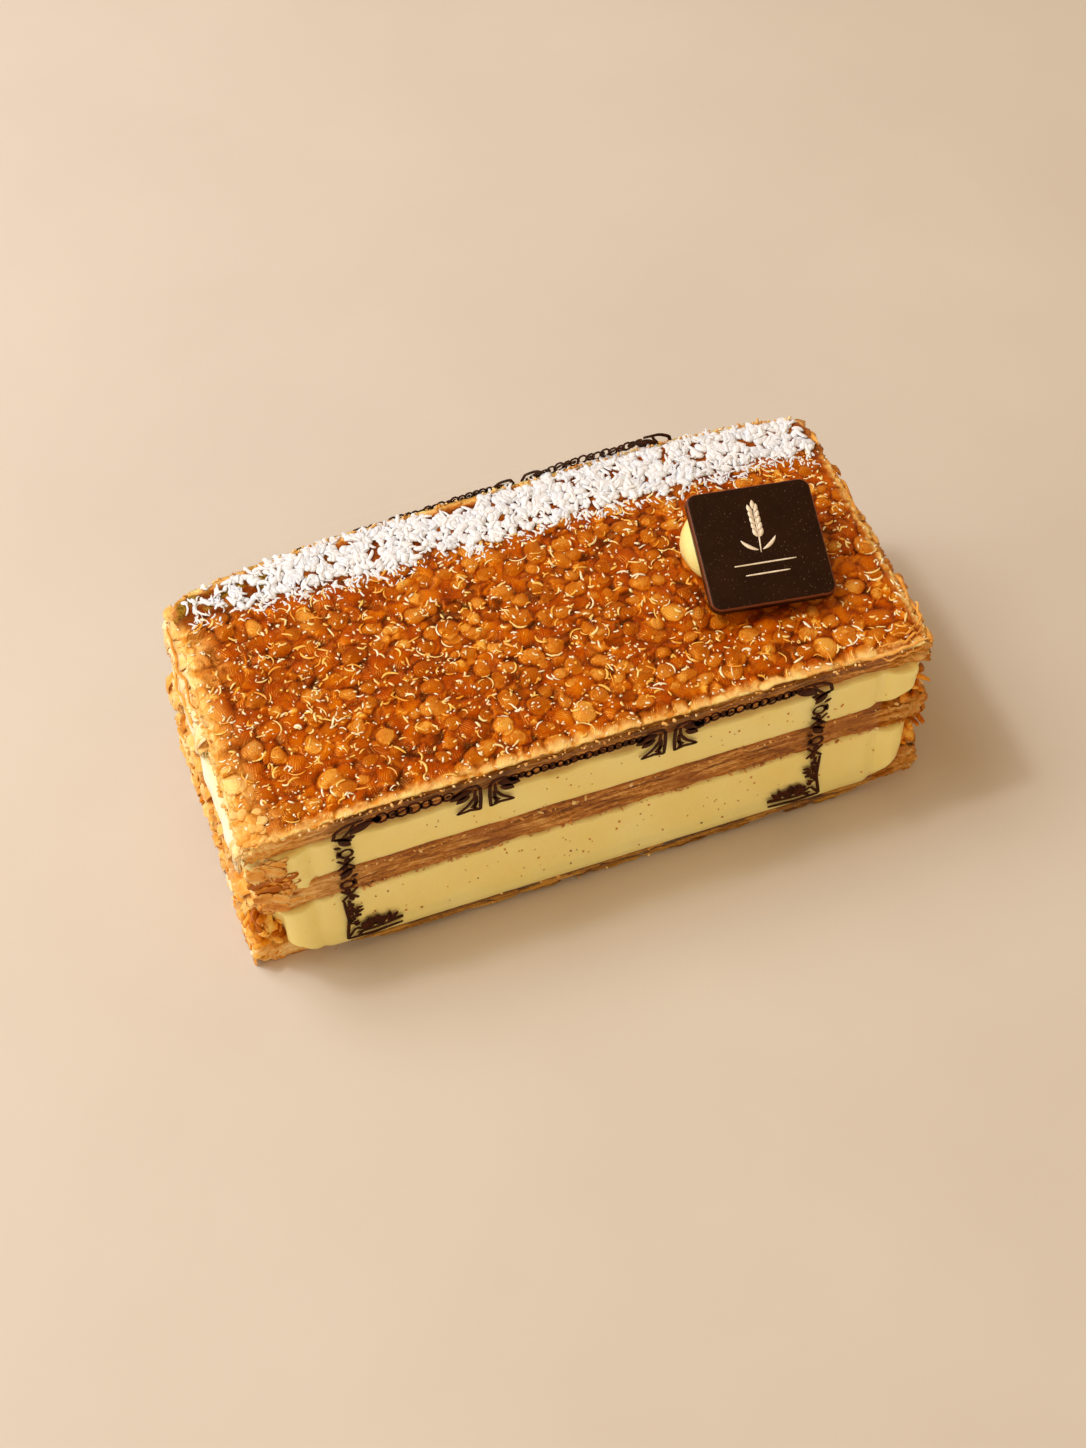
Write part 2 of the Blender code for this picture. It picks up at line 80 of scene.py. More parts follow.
BOTTOM_SHEET = heights("pastry_bottom")
LOWER_CREAM = heights("cream_lower")
MIDDLE_SHEET = heights("pastry_middle")
UPPER_CREAM = heights("cream_upper")
TOP_LOW = heights("pastry_top")[0]
TOP_FACE = TOP_LOW + 6.0                     # mean level of the caramel's domes
VALLEY = 0.9                                 # valleys between the domes lie this far below TOP_FACE
LOWER_CREAM_LOW = BOTTOM_SHEET[1] + 0.3

BACK_BOW = 4.0
CREAM_BACK_BOW = BACK_BOW - 0.2
BOW_POWER = 4
END_ZONE = 9.0                               # length over which a cut side turns ragged
PALE_ZONE = 24.0
RIGHT_PALENESS = 0.6
CAP_INSET = 3.2

PLAQUE_SIDE = 22.7
PLAQUE_THICK = 2.0
PLAQUE_CORNER = 2.0
PLAQUE_EDGE = 0.5
PLAQUE_CENTRE = np.array([39.4, -2.5, 45.0])
PLAQUE_HEADING = math.radians(-7.7)
PLAQUE_TURN = Euler((math.radians(16.2), math.radians(1.1), PLAQUE_HEADING), "XYZ").to_matrix()
DOLLOP_CENTRE = np.array([36.4, 3.2])
DOLLOP_RADII = np.array([8.9, 8.0])

SUGAR_FRONT = 20.6
SUGAR_FRAYS = ((9.0, 1.3), (3.0, 0.9))       # length and depth of its front edge's waves
SUGAR_WAVE_ROW = 324.0
SUGAR_ENDS = (-58.0, 60.0)


def mix(a, b, share):
    return a + (b - a) * share


def smooth(low, high, value):
    """0 below low, 1 above high, an S-curve between them."""
    share = np.clip((value - low) / (high - low), 0.0, 1.0)
    return share * share * (3.0 - 2.0 * share)


NOISE_CELLS = 128


def ripple(x, y, seed):
    """Smooth noise between about -1 and 1 with one hill or hollow to each unit."""
    turns = np.random.default_rng(seed).random((NOISE_CELLS, NOISE_CELLS)) * math.tau
    x, y = np.broadcast_arrays(np.asarray(x, float), np.asarray(y, float))
    column = np.floor(x).astype(int)
    row = np.floor(y).astype(int)
    right = x - column
    up = y - row

    def corner(across, above):
        turn = turns[(column + across) % NOISE_CELLS, (row + above) % NOISE_CELLS]
        return np.cos(turn) * (right - across) + np.sin(turn) * (up - above)

    ease_x = right ** 3 * (right * (right * 6.0 - 15.0) + 10.0)
    ease_y = up ** 3 * (up * (up * 6.0 - 15.0) + 10.0)
    low = mix(corner(0, 0), corner(1, 0), ease_x)
    high = mix(corner(0, 1), corner(1, 1), ease_x)
    return 1.5 * mix(low, high, ease_y)


CELL_TABLE = (97, 89)


def cells(x, y, size, seed):
    """The crooked cell that each point lies in, the way to its middle and the room to the next cell."""
    wide, high = CELL_TABLE
    jitter = np.random.default_rng(seed).random((wide, high, 2))
    column = np.floor(x / size).astype(int)
    row = np.floor(y / size).astype(int)
    best = np.full(x.shape, np.inf)
    second = best.copy()
    off_x = np.zeros(x.shape)
    off_y = np.zeros(x.shape)
    cell = np.zeros(x.shape, int)
    for across in (-1, 0, 1):
        for above in (-1, 0, 1):
            i = (column + across) % wide
            j = (row + above) % high
            to_x = x - (column + across + jitter[i, j, 0]) * size
            to_y = y - (row + above + jitter[i, j, 1]) * size
            reach = np.hypot(to_x, to_y)
            closer = reach < best
            second = np.where(closer, best, np.minimum(second, reach))
            best = np.where(closer, reach, best)
            off_x = np.where(closer, to_x, off_x)
            off_y = np.where(closer, to_y, off_y)
            cell = np.where(closer, i * high + j, cell)
    return cell, off_x, off_y, second - best


def cell_values(cell, seed):
    """One random number between 0 and 1 for each cell."""
    return np.random.default_rng(seed).random(CELL_TABLE[0] * CELL_TABLE[1])[cell]


class Plan:
    """A layer's outline seen from above: four corners and the bows of its front and back."""

    def __init__(self, corners, front_bow=0.0, back_bow=BACK_BOW):
        self.corners = np.array(corners)
        self.front_bow = front_bow
        self.back_bow = back_bow
        self.length = np.linalg.norm(self.corners[1] - self.corners[0])
        self.width = np.linalg.norm(self.corners[3] - self.corners[0])

    def point(self, u, v):
        """u runs from the left end to the right, v from the front to the back."""
        u = np.asarray(u, float)[..., None]
        v = np.asarray(v, float)[..., None]
        front_left, front_right, back_right, back_left = self.corners
        bow = (1.0 - np.abs(2.0 * u - 1.0) ** BOW_POWER) * np.array([0.0, 1.0])
        front = mix(front_left, front_right, u) + self.front_bow * bow
        back = mix(back_left, back_right, u) + self.back_bow * bow
        return mix(front, back, v)

    def outline(self, corner, step):
        """Places round the layer, counter-clockwise from its front left, and their outward directions.

        The corner is one radius, or one each for front right, back right, back left and front left.
        """
        size = (self.length, self.width)
        rounds = np.broadcast_to(corner, 4)
        spots = []
        outs = []
        for side in range(4):
            turn = math.radians(90.0 * side - 90.0)
            outward = np.array([math.cos(turn), math.sin(turn)])
            along = np.array([-outward[1], outward[0]])
            run, depth = (size[0], size[1]) if side % 2 == 0 else (size[1], size[0])
            reach = np.linspace(rounds[side - 1] - run / 2.0, run / 2.0 - rounds[side], int(run / step))
            spots.append(outward * depth / 2.0 + along * reach[:, None])
            outs.append(np.repeat(outward[None], len(reach), axis=0))
            steps = max(1, int(rounds[side] * 1.57 / step))
            bend = turn + math.tau / 4.0 * np.arange(1, steps + 1) / (steps + 1)
            direction = np.stack([np.cos(bend), np.sin(bend)], axis=-1)
            hub = outward * (depth / 2.0 - rounds[side]) + along * (run / 2.0 - rounds[side])
            spots.append(hub + direction * rounds[side])
            outs.append(direction)
        spots = np.concatenate(spots)
        return self.point(spots[:, 0] / size[0] + 0.5, spots[:, 1] / size[1] + 0.5), np.concatenate(outs)

    def ragged(self, x):
        """1 at the ragged ends of a sheet, 0 along its cut sides."""
        reach = np.minimum(x - self.corners[0][0], self.corners[1][0] - x)
        return 1.0 - smooth(0.0, END_ZONE, reach)

    def lightness(self, x):
        """How far a side has the pale colours of a torn end, which reach further in at the left."""
        end = self.ragged(x) * np.where(x > 0.0, RIGHT_PALENESS, 1.0)
        return np.maximum(end, 1.0 - smooth(0.0, PALE_ZONE, x - self.corners[0][0]))


TOP_PLAN = Plan(((-63.0, -27.9), (62.0, -27.6), (62.2, 28.8), (-60.8, 26.2)), front_bow=1.0)
MIDDLE_PLAN = Plan(((-61.6, -27.8), (62.8, -27.8), (62.6, 28.6), (-61.8, 26.2)))
BOTTOM_PLAN = Plan(((-63.2, -27.2), (63.0, -28.4), (62.8, 28.4), (-63.0, 26.4)))
UPPER_CREAM_PLAN = Plan(((-64.0, -28.1), (61.6, -28.1), (61.2, 28.4), (-63.0, 26.0)), back_bow=CREAM_BACK_BOW)
LOWER_CREAM_PLAN = Plan(((-60.6, -28.1), (60.6, -28.1), (60.2, 28.4), (-60.4, 26.0)), back_bow=CREAM_BACK_BOW)
CRUST_ENDS = (-61.9, 62.1)                   # x of the crust's ends halfway from front to back


def paint(red, green, blue):
    """A colour given as it looks on a screen, from 0 to 255, as Blender's linear values."""
    linear = []
    for value in (red, green, blue):
        share = value / 255.0
        linear.append(share / 12.92 if share <= 0.04045 else ((share + 0.055) / 1.055) ** 2.4)
    return (*linear, 1.0)


class Look:
    """A material on one Principled shader, with short calls for the nodes that feed it."""

    def __init__(self, name, **constants):
        self.material = bpy.data.materials.new(name)
        self.material.use_nodes = True
        self.tree = self.material.node_tree
        self.shader = self.tree.nodes["Principled BSDF"]
        self.place = self.node("TexCoord").outputs["Object"]
        self.normal = None
        for socket, value in constants.items():
            self.shader.inputs[socket.replace("_", " ")].default_value = value

    def node(self, kind, inputs=None, **settings):
        made = self.tree.nodes.new("ShaderNode" + kind)
        for key, value in settings.items():
            setattr(made, key, value)
        for socket, value in (inputs or {}).items():
            self.feed(made, socket, value)
        return made

    def feed(self, made, socket, value):
        if isinstance(value, bpy.types.NodeSocket):
            self.tree.links.new(value, made.inputs[socket])
        else:
            made.inputs[socket].default_value = value

    def trait(self, name):
        """A number that the mesh carries at each of its points."""
        return self.node("Attribute", attribute_name=name).outputs["Fac"]

    def stretched(self, x, y, z):
        """Places drawn out along an axis by the inverse of each number."""
        return self.node("Mapping", {"Vector": self.place, "Scale": (x, y, z)}).outputs["Vector"]

    def noise(self, size, detail=3.0, grain=0.55, place=None, twist=0.0):
        inputs = {"Vector": place or self.place, "Scale": 1.0 / (size * MM), "Detail": detail,
                  "Roughness": grain, "Distortion": twist}
        return self.node("TexNoise", inputs).outputs["Fac"]

    def calc(self, operation, a, b=0.0):
        return self.node("Math", {0: a, 1: b}, operation=operation).outputs["Value"]

    def span(self, value, low, high, to_low=0.0, to_high=1.0):
        inputs = {"Value": value, "From Min": low, "From Max": high, "To Min": to_low, "To Max": to_high}
        return self.node("MapRange", inputs).outputs["Result"]

    def blend(self, share, a, b):
        """Mixes two colours, of which b shows where the share is 1."""
        return self.node("Mix", {0: share, 6: a, 7: b}, data_type="RGBA").outputs[2]

    def ramp(self, value, *stops):
        """Colours by value; each stop is its place and a colour as on a screen."""
        made = self.node("ValToRGB", {"Fac": value})
        elements = made.color_ramp.elements
        while len(elements) < len(stops):
            elements.new(0.5)
        for element, (place, *colour) in zip(elements, stops):
            element.position = place
            element.color = paint(*colour)
        return made.outputs["Color"]

    def clouds(self, size, detail=3.0, low=0.0, high=1.0, **noise):
        """Noise spread between two values."""
        return self.span(self.noise(size, detail, **noise), 0.3, 0.7, low, high)

    def bump(self, height, depth):
        """Adds relief of that depth to what the surface has."""
        inputs = {"Height": height, "Distance": depth * MM}
        if self.normal is not None:
            inputs["Normal"] = self.normal
        self.normal = self.node("Bump", inputs).outputs["Normal"]

    def done(self, colour, roughness):
        self.feed(self.shader, "Base Color", colour)
        self.feed(self.shader, "Roughness", roughness)
        if self.normal is not None:
            self.feed(self.shader, "Normal", self.normal)
        return self.material


AMBER_SHINE = (1.0, 0.66, 0.16, 1.0)


def cut_colour(look):
    """Pastry seen at a cut or a torn end: leaf, depth, ragged and brink are traits of the mesh."""
    leaf = look.trait("leaf")
    swirl = look.noise(2.6, 2.0, 0.5, place=look.stretched(0.3, 0.3, 1.0), twist=0.9)
    lines = look.calc("SINE", look.calc("MULTIPLY", swirl, 75.0))
    streaks = look.noise(0.6, 4.0, place=look.stretched(0.16, 0.16, 1.0), twist=0.8)
    tone = look.calc("ADD", look.calc("MULTIPLY", leaf, 0.4), look.calc("MULTIPLY", streaks, 0.75))
    tone = look.calc("ADD", tone, look.calc("MULTIPLY", lines, 0.06))
    cut = look.ramp(tone, (0.3, 78, 30, 0), (0.46, 138, 74, 4), (0.6, 184, 116, 32), (0.78, 226, 172, 96))
    amber = look.span(look.noise(7.0, 2.0, place=look.stretched(0.5, 0.5, 1.0)), 0.52, 0.66, 0.0, 0.75)
    cut = look.blend(amber, cut, paint(150, 78, 4))
    torn = look.ramp(tone, (0.3, 190, 112, 26), (0.5, 238, 174, 86), (0.75, 254, 224, 160))
    colour = look.blend(look.trait("ragged"), cut, torn)
    colour = look.blend(look.trait("brink"), colour, paint(186, 108, 14))
    # Painted shade: the hollows between the leaves are darkened, deep brown on cut sides and golden brown on
    # torn ends.
    painted_crevice_shade = look.span(look.trait("depth"), 0.0, 0.55, 0.9, 0.0)
    shade = look.blend(look.trait("ragged"), paint(62, 22, 0), paint(184, 100, 20))
    return look.blend(painted_crevice_shade, colour, shade)


def pastry_look():
    look = Look("flaky_pastry", Subsurface_Weight=0.12, Subsurface_Radius=(1.0, 0.5, 0.2),
                Subsurface_Scale=0.8 * MM, Specular_IOR_Level=0.3, Specular_Tint=AMBER_SHINE)
    colour = cut_colour(look)
    look.bump(look.noise(0.4, 4.0, place=look.stretched(0.2, 0.2, 1.0)), 0.22)
    look.bump(look.noise(0.3, 3.0), 0.05)
    return look.done(colour, 0.62)


def caramel_look():
    """Glossy blistered caramel on the upper face, plain flaky pastry on the sides."""
    look = Look("caramelised_crust", Subsurface_Weight=0.3, Subsurface_Radius=(1.0, 0.35, 0.05),
                Subsurface_Scale=1.0 * MM, Specular_IOR_Level=0.5, Specular_Tint=(1.0, 0.58, 0.08, 1.0))
    fine = look.noise(0.8, 4.0, twist=1.2)
    tone = look.calc("ADD", look.trait("tone"), look.clouds(9.0, 2.0, -0.16, 0.14))
    tone = look.calc("ADD", tone, look.span(fine, 0.3, 0.7, -0.08, 0.08))
    amber = look.ramp(tone, (0.0, 76, 17, 0), (0.28, 133, 43, 0), (0.52, 177, 72, 0), (0.8, 214, 116, 3),
                      (1.0, 252, 200, 84))
    tan = look.ramp(tone, (0.0, 78, 21, 0), (0.4, 144, 62, 1), (0.68, 184, 99, 12), (1.0, 220, 144, 54))
    colour = look.blend(look.trait("tint"), amber, tan)
    golden = look.ramp(tone, (0.0, 176, 88, 2), (0.5, 234, 160, 62), (1.0, 254, 220, 144))
    colour = look.blend(look.trait("pale"), colour, golden)
    burnt = look.ramp(tone, (0.0, 70, 20, 0), (0.6, 128, 48, 2), (1.0, 176, 92, 26))
    colour = look.blend(look.trait("dark"), colour, burnt)
    olive = look.ramp(fine, (0.3, 54, 32, 4), (0.45, 120, 86, 12), (0.7, 184, 148, 44))
    colour = look.blend(look.trait("olive"), colour, olive)
    side = look.trait("side")
    colour = look.blend(side, colour, cut_colour(look))
    phase = look.calc("ADD", look.trait("rib"), look.clouds(0.9, 3.0, 0.0, 3.0))
    look.bump(look.calc("SINE", phase), 0.02)
    look.bump(look.noise(0.7, 2.0, 0.5, twist=0.8), 0.035)
    matte = look.calc("MAXIMUM", side, look.trait("pale"))
    gloss = look.span(look.noise(2.6, 2.0), 0.35, 0.65, 0.05, 0.12)
    return look.done(colour, look.calc("ADD", gloss, look.calc("MULTIPLY", matte, 0.34)))


def leaf_look(name, grain, stops, relief, roughness, shine, **constants):
    """Crisp leaves and shreds, whose tone the mesh carries.

    Grain is the size, detail, swing and twist of the tone's noise, relief the size, detail, depth and
    twist of the bumps.
    """
    look = Look(name, Specular_IOR_Level=shine, **constants)
    size, detail, swing, twist = grain
    tone = look.calc("ADD", look.trait("tone"), look.clouds(size, detail, -swing, swing, twist=twist))
    colour = look.ramp(tone, *stops)
    size, detail, depth, twist = relief
    look.bump(look.noise(size, detail, twist=twist), depth)
    return look.done(colour, roughness)


def curl_and_glint_look():
    # Golden shreds; the near-white upper stops are painted highlights that stand in for glints.
    stops = ((0.0, 244, 158, 28), (0.4, 255, 204, 92), (0.75, 255, 234, 164), (1.0, 255, 250, 226))
    return leaf_look("curls_with_painted_glints", (0.8, 2.0, 0.15, 0.0), stops, (0.3, 2.0, 0.04, 0.0), 0.18, 0.8)


def roll_look():
    stops = ((0.0, 178, 88, 2), (0.45, 232, 148, 26), (1.0, 254, 212, 114))
    return leaf_look("rolled_leaves", (1.4, 3.0, 0.2, 0.6), stops, (0.9, 2.0, 0.06, 0.0), 0.2, 0.5,
                     Specular_Tint=AMBER_SHINE, Subsurface_Weight=0.2, Subsurface_Radius=(1.0, 0.45, 0.1),
                     Subsurface_Scale=0.8 * MM)


def flake_look():
    stops = ((0.0, 178, 94, 6), (0.3, 238, 168, 74), (0.62, 252, 216, 144), (1.0, 255, 244, 214))
    return leaf_look("torn_leaves", (1.6, 3.0, 0.12, 0.6), stops, (1.0, 3.0, 0.06, 0.8), 0.36, 0.4,
                     Specular_Tint=AMBER_SHINE)


def shard_look():
    stops = ((0.0, 126, 56, 0), (0.45, 214, 124, 14), (1.0, 250, 194, 92))
    return leaf_look("amber_shards", (1.0, 3.0, 0.2, 1.0), stops, (0.4, 3.0, 0.05, 0.0), 0.3, 0.5,
                     Specular_Tint=AMBER_SHINE)


def foot_look():
    stops = ((0.0, 104, 58, 4), (0.5, 148, 96, 14), (1.0, 190, 138, 50))
    return leaf_look("foot_leaves", (1.0, 3.0, 0.3, 1.0), stops, (0.4, 3.0, 0.05, 0.0), 0.45, 0.4,
                     Specular_Tint=AMBER_SHINE)


def glint_bead_look():
    look = Look("painted_glint_drops", Specular_IOR_Level=0.9)
    # Painted highlight: near-white colours that stand in for the glints on the caramel.
    colour = look.ramp(look.trait("tone"), (0.0, 255, 214, 130), (0.5, 255, 244, 214))
    look.bump(look.noise(0.3, 2.0), 0.01)
    return look.done(colour, 0.1)


def sugar_look():
    look = Look("melted_sugar", Subsurface_Weight=0.2, Subsurface_Radius=(0.6, 0.6, 0.6),
                Subsurface_Scale=0.5 * MM, Specular_IOR_Level=0.45)
    tone = look.span(look.noise(3.0, 3.0), 0.35, 0.65)
    colour = look.ramp(tone, (0.0, 234, 241, 255), (1.0, 247, 249, 255))
    look.bump(look.noise(0.5, 3.0, 0.5), 0.03)
    return look.done(colour, look.span(look.noise(1.0), 0.35, 0.65, 0.35, 0.6))


def cream_look(name):
    look = Look(name, Subsurface_Weight=0.35, Subsurface_Radius=(1.0, 0.75, 0.3), Subsurface_Scale=1.4 * MM,
                Specular_IOR_Level=0.4)
    colour = look.ramp(look.clouds(11.0), (0.0, 249, 229, 142), (1.0, 253, 239, 164))
    dust = look.span(look.noise(0.5, 2.0), 0.7, 0.76, 0.0, 0.3)
    colour = look.blend(dust, colour, paint(206, 158, 70))
    colour = look.blend(look.calc("MULTIPLY", look.trait("overlit"), 0.85), colour, paint(255, 252, 240))
    look.bump(look.noise(5.0, 3.0), 0.25)
    look.bump(look.noise(0.9, 3.0), 0.025)
    return look.done(colour, look.clouds(4.0, 2.0, 0.3, 0.46))


def speck_look():
    look = Look("vanilla_specks", Specular_IOR_Level=0.4)
    colour = look.ramp(look.noise(2.0, 1.0), (0.36, 128, 66, 6), (0.48, 206, 132, 28))
    return look.done(colour, 0.5)


def chocolate_look():
    look = Look("dark_chocolate", Specular_IOR_Level=0.3, Specular_Tint=(1.0, 0.62, 0.42, 1.0))
    colour = look.ramp(look.clouds(6.0, 4.0), (0.0, 20, 7, 3), (1.0, 33, 13, 6))
    colour = look.blend(look.calc("MULTIPLY", look.trait("rim"), 0.75), colour, paint(120, 58, 34))
    dust = look.span(look.noise(0.28, 1.0), 0.71, 0.75, 0.0, 0.5)
    colour = look.blend(dust, colour, paint(150, 122, 96))
    look.bump(look.noise(3.0, 3.0), 0.06)
    look.bump(look.noise(0.25, 2.0), 0.012)
    return look.done(colour, look.clouds(1.6, 3.0, 0.3, 0.42))


def icing_look():
    look = Look("white_chocolate_print", Specular_IOR_Level=0.4)
    colour = look.ramp(look.noise(1.5, 2.0), (0.3, 226, 204, 172), (0.7, 250, 240, 220))
    return look.done(colour, 0.45)


def ink_look():
    look = Look("film_print", Specular_IOR_Level=0.1)
    colour = look.ramp(look.noise(1.2, 3.0), (0.3, 36, 10, 0), (0.75, 78, 30, 3))
    return look.done(colour, 0.4)


def film_look():
    look = Look("clear_film", Specular_IOR_Level=0.5, Alpha=0.02)
    colour = look.ramp(look.noise(9.0, 2.0), (0.3, 236, 228, 210), (0.7, 250, 244, 232))
    look.bump(look.noise(14.0, 2.0), 0.25)
    return look.done(colour, 0.12)


def crumb_look():
    look = Look("pastry_crumbs", Specular_IOR_Level=0.4)
    colour = look.ramp(look.trait("tone"), (0.0, 184, 112, 30), (0.5, 236, 176, 88), (1.0, 254, 228, 168))
    look.bump(look.noise(0.3, 3.0), 0.05)
    return look.done(colour, 0.4)


def floor_look():
    look = Look("pale_floor", Specular_IOR_Level=0.25)
    colour = look.ramp(look.noise(60.0, 4.0), (0.3, 210, 201, 190), (0.7, 214, 206, 195))
    return look.done(colour, 0.7)


def moved_in(values, low, high):
    """Values grouped by body along their first axis, each body moved as a whole to keep between limits."""
    rest = tuple(range(1, values.ndim))
    under = np.maximum(low - values.min(axis=rest, keepdims=True), 0.0)
    over = np.maximum(values.max(axis=rest, keepdims=True) - high, 0.0)
    return values + under - over


def inside_box(points):
    """The same points, drawn in where they would leave the frame's box: small bodies as wholes."""
    low = np.array(CAD_LOW) / MM - SHIFT + 0.02
    high = np.array(CAD_HIGH) / MM - SHIFT - 0.02
    if points.ndim == 3:
        points = np.stack([moved_in(points[..., k], low[k], high[k]) for k in range(3)], axis=-1)
    return np.clip(points, low, high)


def make(name, points, faces, look, replaces=(), traits=None):
    """One mesh piece from points in millimetres and groups of faces of equal size."""
    points = (inside_box(np.asarray(points)).reshape(-1, 3) + SHIFT) * MM
    groups = [np.asarray(group, np.int32) for group in faces]
    sizes = np.concatenate([np.full(len(group), group.shape[1]) for group in groups])
    mesh = bpy.data.meshes.new(name)
    mesh.vertices.add(len(points))
    mesh.vertices.foreach_set("co", points.astype(np.float32).ravel())
    mesh.loops.add(int(sizes.sum()))
    mesh.loops.foreach_set("vertex_index", np.concatenate([group.ravel() for group in groups]))
    mesh.polygons.add(len(sizes))
    mesh.polygons.foreach_set("loop_start", (np.cumsum(sizes) - sizes).astype(np.int32))
    mesh.polygons.foreach_set("use_smooth", np.ones(len(sizes), bool))
    for trait, values in (traits or {}).items():
        layer = mesh.attributes.new(trait, "FLOAT", "POINT")
        layer.data.foreach_set("value", np.asarray(values, np.float32).ravel())
    mesh.update(calc_edges=True)
    mesh.validate()
    mesh.materials.append(look)
    piece = bpy.data.objects.new(name, mesh)
    bpy.context.scene.collection.objects.link(piece)
    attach(piece, "root")
    if replaces:
        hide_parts(*replaces)
    return piece


def walls(index):
    """Quads between the rings of a stack, each ring counter-clockwise from above."""
    after = np.roll(index, -1, axis=1)
    return np.stack([index[:-1], after[:-1], after[1:], index[1:]], axis=-1).reshape(-1, 4)


def fan(ring, hub):
    """Triangles that close a ring at its foot, its points counter-clockwise from above."""
    return np.stack([np.roll(ring, -1), ring, np.full(len(ring), hub)], axis=-1)


def shell(rings):
    """Points and faces of a closed body through a stack of rings, its two ends closed to their middles."""
    levels, count = rings.shape[:2]
    index = np.arange(levels * count).reshape(levels, count)
    points = np.concatenate([rings.reshape(-1, 3), rings[:1].mean(axis=1), rings[-1:].mean(axis=1)])
    foot = fan(index[0], levels * count)
    head = fan(index[-1], levels * count + 1)[:, [1, 0, 2]]
    return points, [walls(index), np.concatenate([foot, head])]


def repeated(faces, pieces, points_each):
    """One piece's faces, repeated for every piece."""
    return (faces[None] + (np.arange(pieces) * points_each)[:, None, None]).reshape(-1, faces.shape[1])


def lattice(rows, columns):
    """Numbers of a grid's points, its quads and its border."""
    index = np.arange(rows * columns).reshape(rows, columns)
    quads = np.stack([index[:-1, :-1], index[1:, :-1], index[1:, 1:], index[:-1, 1:]], axis=-1).reshape(-1, 4)
    return index, quads, np.concatenate([index[:-1, 0], index[-1, :-1], index[:0:-1, -1], index[0, :0:-1]])


def slabs(upper, lower):
    """Closed thin pieces between two stacks of point grids, pieces by rows by columns."""
    pieces, rows, columns = upper.shape[:3]
    _, top, border = lattice(rows, columns)
    under = rows * columns
    bottom = top[:, ::-1] + under
    after = np.roll(border, -1)
    side = np.stack([border + under, after + under, after, border], axis=-1)
    points = np.concatenate([upper.reshape(pieces, -1, 3), lower.reshape(pieces, -1, 3)], axis=1)
    return points, [repeated(np.concatenate([top, bottom, side]), pieces, 2 * under)]


def ribbons(spine, across, thick):
    """Closed strips of rectangular section along spines: pieces by steps by three."""
    upper = np.stack([spine - across + thick, spine + across + thick], axis=2)
    lower = np.stack([spine - across - thick, spine + across - thick], axis=2)
    return slabs(upper, lower)


def strands(spine, radii, sides, flat=1.0):
    """Closed strands along spines: pieces by steps by three, with their half thickness at each step."""
    pieces, steps = spine.shape[:2]
    along = np.gradient(spine, axis=1)
    along /= np.maximum(np.linalg.norm(along, axis=-1), 1e-6)[..., None]
    side = np.cross(np.array([0.0, 0.0, 1.0]), along)
    side /= np.maximum(np.linalg.norm(side, axis=-1), 1e-6)[..., None]
    up = np.cross(along, side)
    turn = np.arange(sides) * math.tau / sides
    ring = side[:, :, None] * np.cos(turn)[:, None] + up[:, :, None] * (flat * np.sin(turn))[:, None]
    body = spine[:, :, None] + ring * radii[:, :, None, None]
    points = np.concatenate([body.reshape(pieces, -1, 3), spine[:, :1], spine[:, -1:]], axis=1)
    index = np.arange(steps * sides).reshape(steps, sides)
    ends = np.concatenate([fan(index[0], steps * sides), fan(index[-1], steps * sides + 1)[:, [1, 0, 2]]])
    return points, [repeated(faces, pieces, points.shape[1]) for faces in (walls(index), ends)]


def tones_each(tones, points):
    """One tone for each body, given to all its points."""
    return {"tone": np.repeat(tones, points.shape[1])}


def leaf_piece(name, grid, half, tone, look):
    """A piece of thin leaves: their points as grids, half their thickness as a way, and their tones."""
    points, faces = slabs(grid + half, grid - half)
    tone = np.tile(np.broadcast_to(tone, grid.shape[:3]).reshape(len(grid), -1), (1, 2))
    return make(name, points, faces, look, traits={"tone": tone})


def bent_lines(draw, middles, headings, lengths, bend, steps, kinks=0.0):
    """Lines in the plan through their middles, some with a kink: pieces by steps, as x and y."""
    turn = headings[:, None] + draw.normal(size=(len(middles), 1)) * bend * np.linspace(-1.0, 1.0, steps)
    turn += 0.25 * bend * draw.normal(size=turn.shape)
    turn += np.reshape(kinks, (-1, 1)) * (np.arange(steps) > steps // 2)
    step = lengths[:, None] / (steps - 1)
    x = np.cumsum(np.cos(turn) * step, axis=1)
    y = np.cumsum(np.sin(turn) * step, axis=1)
    middle = steps // 2
    return x - x[:, middle:middle + 1] + middles[:, :1], y - y[:, middle:middle + 1] + middles[:, 1:2]


def ball(subdivisions):
    """Directions and faces of a round blob."""
    builder = bmesh.new()
    bmesh.ops.create_icosphere(builder, subdivisions=subdivisions, radius=1.0)
    directions = np.array([vert.co for vert in builder.verts])
    faces = np.array([[vert.index for vert in face.verts] for face in builder.faces])
    builder.free()
    return directions, faces


def blobs(centres, radii, seed, subdivisions, uneven, turns=None):
    """Closed lumpy blobs with three radii each; turns say how their long sides lie in the plan."""
    draw = np.random.default_rng(seed)
    directions, faces = ball(subdivisions)
    count = len(centres)
    shape = np.ones((count, len(directions)))
    for _ in range(2):
        wave = draw.normal(size=(count, 3)) * 2.4
        shape += uneven * np.sin(wave @ directions.T + draw.random((count, 1)) * math.tau)
    local = directions[None] * shape[..., None] * radii[:, None]
    if turns is None:
        turns = draw.random(count) * math.tau
    cos, sin = np.cos(turns)[:, None], np.sin(turns)[:, None]
    x = local[..., 0] * cos - local[..., 1] * sin
    y = local[..., 0] * sin + local[..., 1] * cos
    points = np.stack([x, y, local[..., 2]], axis=-1) + np.asarray(centres)[:, None]
    return points, [repeated(faces, count, len(directions))], draw.random(count).repeat(len(directions))


